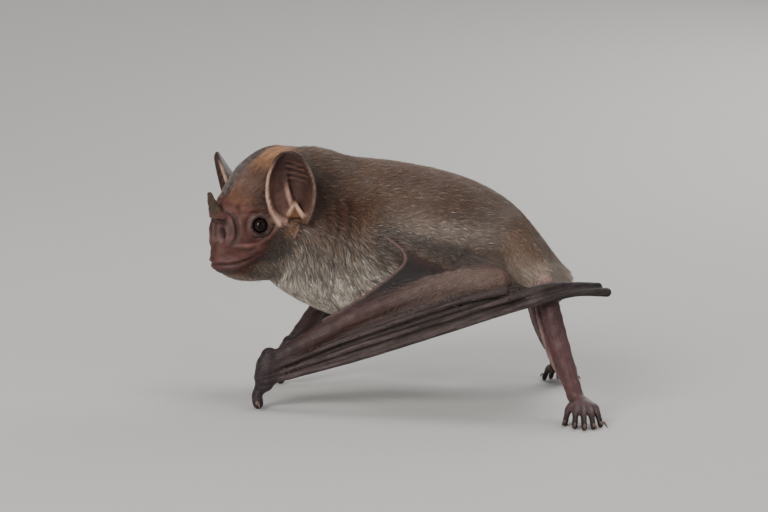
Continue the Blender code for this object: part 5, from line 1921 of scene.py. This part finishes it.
    def piece(self, name: str, kinds: Sequence[Tufts], picks: Sequence[Array],
              ends: Tuple[float, float]) -> Piece:
        """One mesh of the picked tufts of both kinds, with its bake layout.

        Args:
            name: object name.
            kinds: tufts of each kind.
            picks: per kind: numbers of the tufts to take.
            ends: least and greatest length along in this piece.
        Returns:
            The object.
        """
        verts, cols, faces, places = [], [], [], []
        start = 0
        for kind, pick in zip(kinds, picks):
            size = kind.points.shape[1]
            verts.append(kind.points[pick].reshape(-1, 3))
            cols.append(kind.tints[pick].reshape(-1, 3))
            faces.append((start + np.arange(len(pick))[:, None, None] * size
                          + kind.tris).reshape(-1, 3))
            start += len(pick) * size
            u = (kind.place[pick, 0] - ends[0]) / (ends[1] - ends[0])
            middle = np.clip(np.stack([u, kind.place[pick, 1]], axis=1), 0.01, 0.99)
            turn = np.arange(size) * 2.4
            spread = np.stack([np.cos(turn), np.sin(turn)], axis=1) * self.patch / 2
            places.append((middle[:, None] + spread).reshape(-1, 2))
        corners = np.vstack(faces)
        item = make_object(name, np.vstack(verts), corners)
        paint(item, "tint", np.vstack(cols))
        layer = item.data.uv_layers.new(name="OFBake")
        layer.data.foreach_set("uv", np.vstack(places)[corners.ravel()].astype(np.float32).ravel())
        return item


# ---- eyes and claws ----

def fan_and_tube(rings: int, sides: int, closed: bool = True) -> Array:
    """Triangles of a tube of rings that starts from a point; faces point outwards.

    Args:
        rings: number of rings after the first point.
        sides: points to a ring.
        closed: whether a last point closes the other end.
    Returns:
        Corner numbers of the triangles; point 0 is the first end, the last the other.
    """
    k = np.arange(sides)
    nxt = (k + 1) % sides
    base = 1 + np.arange(rings - 1)[:, None] * sides
    a, b = (base + k).ravel(), (base + nxt).ravel()
    c, d = a + sides, b + sides
    faces = [(0 * k, 1 + k, 1 + nxt), (a, c, b), (b, c, d)]
    if closed:
        start = 1 + (rings - 1) * sides
        faces.append((0 * k + start + sides, start + nxt, start + k))
    return np.vstack([np.stack(face, axis=1) for face in faces])


def closed_tube(name: str, first: Array, rings: Array, last: Array, label: str,
                values: Array) -> Piece:
    """Make a piece from rings of points between two end points.

    Args:
        name: object name.
        first: first end point.
        rings: points, ring by ring.
        last: last end point.
        label: name of the attribute stored on it.
        values: the attribute at the first end, at each ring and at the last end.
    Returns:
        The object.
    """
    count, sides = rings.shape[:2]
    item = make_object(name, np.vstack([first, rings.reshape(-1, 3), last]),
                       fan_and_tube(count, sides))
    paint(item, label, np.repeat(values, [1, *[sides] * count, 1]))
    return item


@dataclass
class Eye:
    """Ball of one eye with the clear front bulging a little."""

    head: Head
    side: int
    bulge: float = 0.16
    opening: float = 0.62             # half angle of the front, radians
    iris: float = 0.95                # half angle of the coloured ring, radians
    play: float = 0.03                # between the ball and its seat, mm

    def build(self, name: str) -> Piece:
        """Ball whose radius grows by the bulge times a bell of the angle from the gaze.

        Args:
            name: name of the piece.
        Returns:
            The ball.
        """
        seat, gaze = self.head.eye(self.side)
        across = unit(np.cross(UP, gaze))
        angle = np.pi * np.linspace(0, 1, 33)
        turn = np.linspace(0, 2 * np.pi, 48, endpoint=False)[:, None]
        around = np.cos(turn) * across + np.sin(turn) * np.cross(gaze, across)
        radius = self.head.eye_radius - self.play \
            + self.bulge * np.exp(-(angle / self.opening) ** 4)
        ring = np.cos(angle)[:, None, None] * gaze + np.sin(angle)[:, None, None] * around
        body = seat + ring * radius[:, None, None]
        return closed_tube(name, body[0, 0], body[1:-1], body[-1, 0], "ring",
                           np.clip(angle / self.iris, 0, 1))


@dataclass
class Claw:
    """One hooked claw: an oval section carried along an arched path to a point."""

    start: Array
    bend: Array
    tip: Array
    radius: float

    def build(self, name: str) -> Piece:
        """Sections shrink as the square root of what is left, higher than they are wide.

        Args:
            name: name of the piece.
        Returns:
            The claw.
        """
        root = self.start * 1.9 - self.bend * 0.9
        path = curve([root, self.start, self.bend, self.tip], 22)[4:]
        run = unit(np.gradient(path, axis=0))
        side = unit(np.cross(run, UP))
        t = np.linspace(0, 1, len(path))
        size = self.radius * (0.95 * np.sqrt(np.clip(1 - t, 0, 1)) + 0.05) * (1 - 0.25 * t)
        turn = np.linspace(0, 2 * np.pi, 14, endpoint=False)
        high = np.where(np.sin(turn) > 0, 1.15, 0.95) * np.sin(turn)
        ring = side[:, None] * (0.72 * np.cos(turn))[:, None] \
            + np.cross(side, run)[:, None] * high[:, None]
        body = path[:, None] + ring * size[:, None, None]
        body[..., 2] = np.maximum(body[..., 2], 0.01)
        return closed_tube(name, path[0] - run[0] * 0.1, body[:-1], path[-1], "along",
                           np.concatenate([[0.0], t]))


# ---- finishes ----

Socket = bpy.types.NodeSocket
FLOAT, VECTOR, COLOUR = "NodeSocketFloat", "NodeSocketVector", "NodeSocketColor"


@dataclass
class Tree:
    """Short way to place and join nodes in one shader tree."""

    nodes: bpy.types.NodeTree
    across: float = 0.0

    def feed(self, node: bpy.types.Node, feeds: Dict[object, object]) -> None:
        """Give each named or numbered input a value, or join it to an output socket.

        Args:
            node: node to feed.
            feeds: value or socket by input.
        """
        for key, value in feeds.items():
            if isinstance(value, Socket):
                self.nodes.links.new(value, node.inputs[key])
            else:
                node.inputs[key].default_value = value

    def add(self, kind: str, feeds: Dict[object, object], **settings: object) -> bpy.types.Node:
        """Place a node.

        Args:
            kind: node type, without its first word for a shader node.
            feeds: value or output socket for each input, by name or number.
            settings: node properties.
        Returns:
            The node.
        """
        node = self.nodes.nodes.new(kind if kind.startswith("Node") else "ShaderNode" + kind)
        for key, value in settings.items():
            setattr(node, key, value)
        self.feed(node, feeds)
        node.location = (self.across, -80.0 * (len(self.nodes.nodes) % 5))
        self.across += 190.0
        return node

    def calc(self, kind: str, a: object, b: object, clamp: bool = False) -> Socket:
        """Math node on two values."""
        return self.add("Math", {0: a, 1: b}, operation=kind, use_clamp=clamp).outputs[0]

    def total(self, base: object, *terms: Tuple[object, object]) -> Socket:
        """Sum of a base and of values times their weights."""
        for value, weight in terms:
            base = self.calc("ADD", base, self.calc("MULTIPLY", value, weight))
        return base

    def blend(self, share: object, a: object, b: object, kind: str = "MIX") -> Socket:
        """Colour mix of a and b."""
        return self.add("Mix", {0: share, 6: a, 7: b}, data_type="RGBA",
                        blend_type=kind).outputs[2]

    def shade(self, colour: object, level: Socket) -> Socket:
        """Colour times a level."""
        grey = self.add("CombineColor", {0: level, 1: level, 2: level})
        return self.blend(1.0, colour, grey.outputs[0], "MULTIPLY")

    def noise(self, place: Socket, scale: object, detail: float = 2.0, rough: float = 0.5,
              output: str = "Fac") -> Socket:
        """Noise texture at a place."""
        return self.add("TexNoise", {"Vector": place, "Scale": scale, "Detail": detail,
                                     "Roughness": rough}).outputs[output]

    def stored(self, name: str, output: str = "Color") -> Socket:
        """Attribute stored on the mesh."""
        return self.add("Attribute", {}, attribute_name=name).outputs[output]

    def place_mm(self) -> Socket:
        """Object coordinates in millimetres."""
        place = self.add("TexCoord", {}).outputs["Object"]
        return self.add("VectorMath", {0: place, 1: (1 / MM,) * 3},
                        operation="MULTIPLY").outputs[0]

    def bump(self, height: Socket, strength: float, distance: float) -> Socket:
        """Normal bent by a height; distance in metres."""
        return self.add("Bump", {"Height": height, "Strength": strength,
                                 "Distance": distance}).outputs[0]


def shared(name: str, output: Tuple[str, str], fill: Callable[..., Socket],
           *inputs: Tuple[str, str, object]) -> bpy.types.NodeTree:
    """Make a node group.

    Args:
        name: group name.
        output: name and socket kind of its one output.
        fill: places its nodes from the tree and the input sockets; returns the result.
        inputs: name, socket kind and default of each input.
    Returns:
        The group.
    """
    tree = bpy.data.node_groups.new(name, "ShaderNodeTree")
    for label, kind, default in inputs:
        socket = tree.interface.new_socket(label, in_out="INPUT", socket_type=kind)
        if default is not None:
            socket.default_value = default
    tree.interface.new_socket(output[0], in_out="OUTPUT", socket_type=output[1])
    work = Tree(tree)
    entry = work.add("NodeGroupInput", {})
    result = fill(work, *(entry.outputs[k] for k in range(len(inputs))))
    work.add("NodeGroupOutput", {0: result})
    return tree


def creases(work: Tree, place: Socket, fineness: Socket) -> Socket:
    """Fine skin creases: distance to the edge of warped cells, at two sizes, plus grain.

    Args:
        work: tree to build in.
        place: coordinates, mm.
        fineness: multiplier of the pattern scale.
    Returns:
        Height of the creases.
    """
    warp = work.noise(place, 0.9, output="Color")
    moved = work.add("VectorMath", {0: place, 1: warp}, operation="ADD").outputs[0]
    heights = []
    for size in (1.4, 3.1):
        scale = work.calc("MULTIPLY", fineness, size)
        cell = work.add("TexVoronoi", {"Vector": moved, "Scale": scale},
                        feature="DISTANCE_TO_EDGE")
        heights.append(work.calc("MINIMUM", cell.outputs["Distance"], 0.35))
    grain = work.noise(place, work.calc("MULTIPLY", fineness, 6.0), 3.0)
    return work.total(heights[0], (heights[1], 0.6), (grain, 0.35))


def mottling(work: Tree, tint: Socket, place: Socket, size: Socket, amount: Socket) -> Socket:
    """Uneven colour: a tint darkened and lightened by noise at a chosen size."""
    swing = work.calc("SUBTRACT", work.noise(place, size, 4.0, 0.6), 0.5)
    return work.shade(tint, work.total(1.0, (work.calc("MULTIPLY", swing, 4.0), amount)))


def lengthwise(work: Tree, lay: Socket, along: Socket, across: Socket) -> Socket:
    """Lines that run lengthwise: noise stretched along the first axis of the lay."""
    parts = work.add("SeparateXYZ", {0: lay}).outputs
    scaled = {k: work.calc("MULTIPLY", parts[k], (along, across, across)[k]) for k in range(3)}
    return work.noise(work.add("CombineXYZ", scaled).outputs[0], 1.0, 3.0, 0.55)


class Finishes:
    """Shared node groups and the materials made from them."""

    def __init__(self) -> None:
        """Build each shared group once."""
        self.creases = shared("skin creases", ("Height", FLOAT), creases,
                              ("Place", VECTOR, None), ("Fineness", FLOAT, 1.0))
        self.mottling = shared("mottling", ("Colour", COLOUR), mottling, ("Tint", COLOUR, None),
                               ("Place", VECTOR, None), ("Size", FLOAT, 1.0),
                               ("Amount", FLOAT, 0.3))
        self.lines = shared("lengthwise lines", ("Lines", FLOAT), lengthwise,
                            ("Lay", VECTOR, None), ("Along", FLOAT, 0.08),
                            ("Across", FLOAT, 1.2))

    def start(self, name: str) -> Tuple[Material, Tree, Socket]:
        """New material, its tree and the place in mm.

        Args:
            name: name of the material.
        Returns:
            The three.
        """
        material = bpy.data.materials.new(name)
        material.use_nodes = True
        work = Tree(material.node_tree, 300.0)
        return material, work, work.place_mm()

    def end(self, work: Tree, **feeds: object) -> None:
        """Feed the main shader; an underscore in a name stands for a space."""
        work.feed(work.nodes.nodes["Principled BSDF"],
                  {key.replace("_", " "): value for key, value in feeds.items()})

    def mottled(self, work: Tree, tint: Socket, place: Socket, size: float, amount: float
                ) -> Socket:
        """Tint with the shared mottling."""
        return work.add("Group", {"Tint": tint, "Place": place, "Size": size, "Amount": amount},
                        node_tree=self.mottling).outputs[0]

    def lined(self, work: Tree, lay: Socket, along: float, across: float) -> Socket:
        """Shared lengthwise lines."""
        return work.add("Group", {"Lay": lay, "Along": along, "Across": across},
                        node_tree=self.lines).outputs[0]

    def skin(self) -> Material:
        """Skin: tint from its own attribute, creased where bare, lined along the wings.

        Returns:
            The material.
        """
        material, work, place = self.start("bat skin")
        lay = work.stored("lay", "Vector")
        split = work.add("SeparateColor", {0: work.stored("finish")})
        fur, wing, moist = (split.outputs[k] for k in range(3))
        colour = work.stored("tint")
        for size, amount in ((0.8, 0.3), (4.0, 0.16)):
            colour = self.mottled(work, colour, place, size, amount)
        both = work.calc("ADD", work.calc("MULTIPLY", self.lined(work, lay, 0.1, 1.5), 1.3),
                         work.calc("MULTIPLY", self.lined(work, lay, 0.25, 5.0), 0.6))
        swing = work.calc("MULTIPLY", work.calc("SUBTRACT", both, 0.95), wing)
        fine = work.add("Group", {"Place": place, "Fineness": 1.0}, node_tree=self.creases)
        bare = work.calc("SUBTRACT", 1.0, fur, True)
        height = work.calc("MULTIPLY", fine.outputs[0], work.calc("MULTIPLY", bare, 0.2))
        self.end(work, Base_Color=work.shade(colour, work.total(1.0, (swing, 1.8))),
                 Roughness=work.total(0.47, (fur, 0.35), (moist, 0.05), (swing, -0.12)),
                 Normal=work.bump(work.total(height, (swing, 0.55)), 0.8, 0.0004),
                 Specular_IOR_Level=0.28)
        return material

    def coat(self) -> Material:
        """Hair: tint along each tuft with a fine mottling, soft and slightly sheened.

        Returns:
            The material.
        """
        material, work, place = self.start("bat coat")
        self.end(work, Base_Color=self.mottled(work, work.stored("tint"), place, 2.5, 0.22),
                 Roughness=work.total(0.5, (work.noise(place, 6.0), 0.2)),
                 Specular_IOR_Level=0.3, Sheen_Weight=0.22, Sheen_Roughness=0.45)
        return material

    def eye(self) -> Material:
        """Near-black brown eye: dark middle, faint brown ring, glassy front.

        Returns:
            The material.
        """
        material, work, place = self.start("bat eye")
        swing = work.calc("SUBTRACT", work.noise(place, 5.0, 3.0), 0.5)
        ramp = work.add("ValToRGB", {0: work.total(work.stored("ring", "Fac"), (swing, 0.12))})
        marks = ramp.color_ramp.elements
        marks.new(0.55)
        for mark, at, tone in zip(marks, (0.3, 0.55, 0.92), (
                (0.002, 0.0015, 0.0015, 1), (0.022, 0.01, 0.006, 1), (0.004, 0.003, 0.003, 1))):
            mark.position, mark.color = at, tone
        self.end(work, Base_Color=ramp.outputs[0], Roughness=0.07, IOR=1.38,
                 Specular_IOR_Level=0.3)
        return material

    def claw(self) -> Material:
        """Horn: dark brown, paler toward the root, lined lengthwise.

        Returns:
            The material.
        """
        material, work, place = self.start("bat claw")
        tone = work.blend(work.stored("along", "Fac"), (0.26, 0.17, 0.13, 1),
                          (0.03, 0.02, 0.017, 1))
        lines = self.lined(work, place, 3.0, 9.0)
        self.end(work, Base_Color=self.mottled(work, tone, place, 5.0, 0.25),
                 Roughness=work.total(0.26, (lines, 0.2)),
                 Normal=work.bump(lines, 0.3, 0.00008))
        return material

    def floor(self) -> Material:
        """Plain pale floor."""
        material, work, _ = self.start("pale floor")
        self.end(work, Base_Color=(0.62, 0.61, 0.59, 1), Roughness=0.85, Specular_IOR_Level=0.2)
        return material


# ---- studio ----

@dataclass(frozen=True)
class Lamp:
    """One square soft light; place and size in metres."""

    name: str
    place: Three
    size: float
    power: float
    colour: Three = (1.0, 1.0, 1.0)


@dataclass
class Studio:
    """Pale floor sweeping up all round, soft lights and the camera."""

    aim: Three = (25.09, 0.0, 31.06)      # design mm
    distance: float = 450.0                                      # mm
    elevation: float = 6.0                                       # degrees
    roll: float = 3.0                                            # degrees
    lens: float = 93.9
    lamps: Tuple[Lamp, ...] = (
        Lamp("key", (-0.5, -0.95, 0.5), 0.4, 11.0, (1.0, 0.97, 0.93)),
        Lamp("fill", (0.9, -0.8, 0.35), 0.8, 3.0, (0.95, 0.97, 1.0)),
        Lamp("top", (0.1, 0.25, 1.0), 0.6, 4.0), Lamp("rim", (0.4, 0.8, 0.5), 0.5, 3.0))
    lit: Three = (0.0, 0.0, 0.03)         # where they aim, metres
    around: Tuple[float, ...] = (0.8, 0.81, 0.83, 1)
    around_strength: float = 0.36

    def floor(self, material: Material) -> None:
        """Bowl: flat out to half a metre, then rising as a smooth step.

        Args:
            material: finish of the bowl.
        """
        far = np.concatenate([np.linspace(0.05, 0.5, 8), np.linspace(0.6, 4.0, 35)])[:, None]
        turn = np.linspace(0, 2 * np.pi, 96, endpoint=False)
        high = 2.6 * step(far, 0.5, 4.2) ** 1.1
        rings = np.stack([far * np.cos(turn), far * np.sin(turn), high + 0 * turn], axis=-1)
        verts = np.vstack([[0, 0, 0], rings.reshape(-1, 3)])
        item = make_object("floor", verts / MM - SHIFT, fan_and_tube(*rings.shape[:2], False))
        item.data.materials.append(material)

    def camera(self) -> None:
        """Camera at its distance from the aim, back along its elevation and rolled."""
        tilt, roll = np.radians(self.elevation), np.radians(self.roll)
        back = Vector((0.0, -np.cos(tilt), np.sin(tilt)))
        level = Vector((1.0, 0.0, 0.0))
        above = back.cross(level)
        right = level * np.cos(roll) + above * np.sin(roll)
        up = above * np.cos(roll) - level * np.sin(roll)
        data = bpy.data.cameras.new("camera")
        data.lens = self.lens
        data.sensor_width = 36.0
        data.clip_start = 0.01
        item = link(bpy.data.objects.new("camera", data))
        frame_of = Matrix((right, up, back)).transposed().to_4x4()
        frame_of.translation = Vector((np.array(self.aim) + SHIFT) * MM) \
            + back * self.distance * MM
        item.matrix_world = frame_of
        bpy.context.scene.camera = item

    def lights(self) -> None:
        """Key from the upper left front, fill, top and back lights, pale surroundings."""
        for lamp in self.lamps:
            data = bpy.data.lights.new(lamp.name, "AREA")
            data.size, data.energy, data.color = lamp.size, lamp.power, lamp.colour
            item = link(bpy.data.objects.new(lamp.name, data))
            item.location = lamp.place
            aim = Vector(self.lit) - Vector(lamp.place)
            item.rotation_euler = aim.to_track_quat("-Z", "Y").to_euler()
        world = bpy.data.worlds.new("surroundings")
        world.use_nodes = True
        back = world.node_tree.nodes["Background"]
        back.inputs["Color"].default_value = self.around
        back.inputs["Strength"].default_value = self.around_strength
        bpy.context.scene.world = world


# ---- the whole ----

class Bat:
    """The animal: skin, coat, eyes and claws."""

    def __init__(self, finishes: Finishes) -> None:
        """Make the body and its markings."""
        self.finishes = finishes
        self.body = Body()
        self.marks = Marks(self.body)

    def settle(self, item: Piece, material: Material, slot: str,
               *nodes: str) -> None:
        """Dress a piece, say what it rides on and hide what it replaces.

        Args:
            item: the piece.
            material: its finish.
            slot: not used.
            nodes: CAD nodes that it replaces.
        """
        item.data.materials.append(material)
        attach(item, "root")
        if nodes:
            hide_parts(*nodes)
        LOG.info("%s: %d faces", item.name, len(item.data.polygons))

    def build(self) -> None:
        """Build everything in order."""
        separate = [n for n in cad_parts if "claw" in n or n.startswith("eye")]
        flesh = [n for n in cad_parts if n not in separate]
        skin = Skin(self.body, self.marks)
        self.settle(skin.build(), self.finishes.skin(), "bare_skin", *flesh)
        hair = self.finishes.coat()
        for item in Coat(skin, self.marks, self.body).build():
            self.settle(item, hair, "coat")
        glass = self.finishes.eye()
        for side, tag in ((1, Tag.LEFT), (-1, Tag.RIGHT)):
            item = Eye(self.body.head, side).build(f"eyeball_{tag.value}")
            self.settle(item, glass, "eye", f"eye_{tag.value}")
        self.claws()

    def claws(self) -> None:
        """Thumb and toe claws."""
        claws = {}
        for arm in self.body.arms:
            x, y, _ = arm.w
            claws[f"thumb_claw_{arm.tag.value}"] = Claw(
                *(np.array([x + ahead, y + out * arm.side, up]) for ahead, out, up in
                  ((-1.6, 1.9, 1.35), (-1.25, 3.2, 1.45), (-0.75, 4.15, 0.35))), 0.55)
        for leg in self.body.legs:
            for number, (base, tip, out) in enumerate(leg.toes):
                end = leg.on(tip, out, 0)
                ahead = unit(end - leg.on(base, leg.toe_root, 0))
                claws[f"toe_claw_{leg.tag.value}_{number + 1}"] = Claw(
                    *(end + ahead * far + UP * up for far, up in
                      ((0.3, 0.95), (1.5, 1.15), (2.6, 0.3))), 0.48)
        horn = self.finishes.claw()
        for name, claw in claws.items():
            self.settle(claw.build(f"horn_{name}"), horn, "claw", name)


def main() -> None:
    """Build the bat and its studio."""
    logging.basicConfig(level=logging.INFO, format="%(name)s %(message)s")
    finishes = Finishes()
    studio = Studio()
    studio.floor(finishes.floor())
    studio.camera()
    studio.lights()
    Bat(finishes).build()


if __name__ == "__main__":
    main()
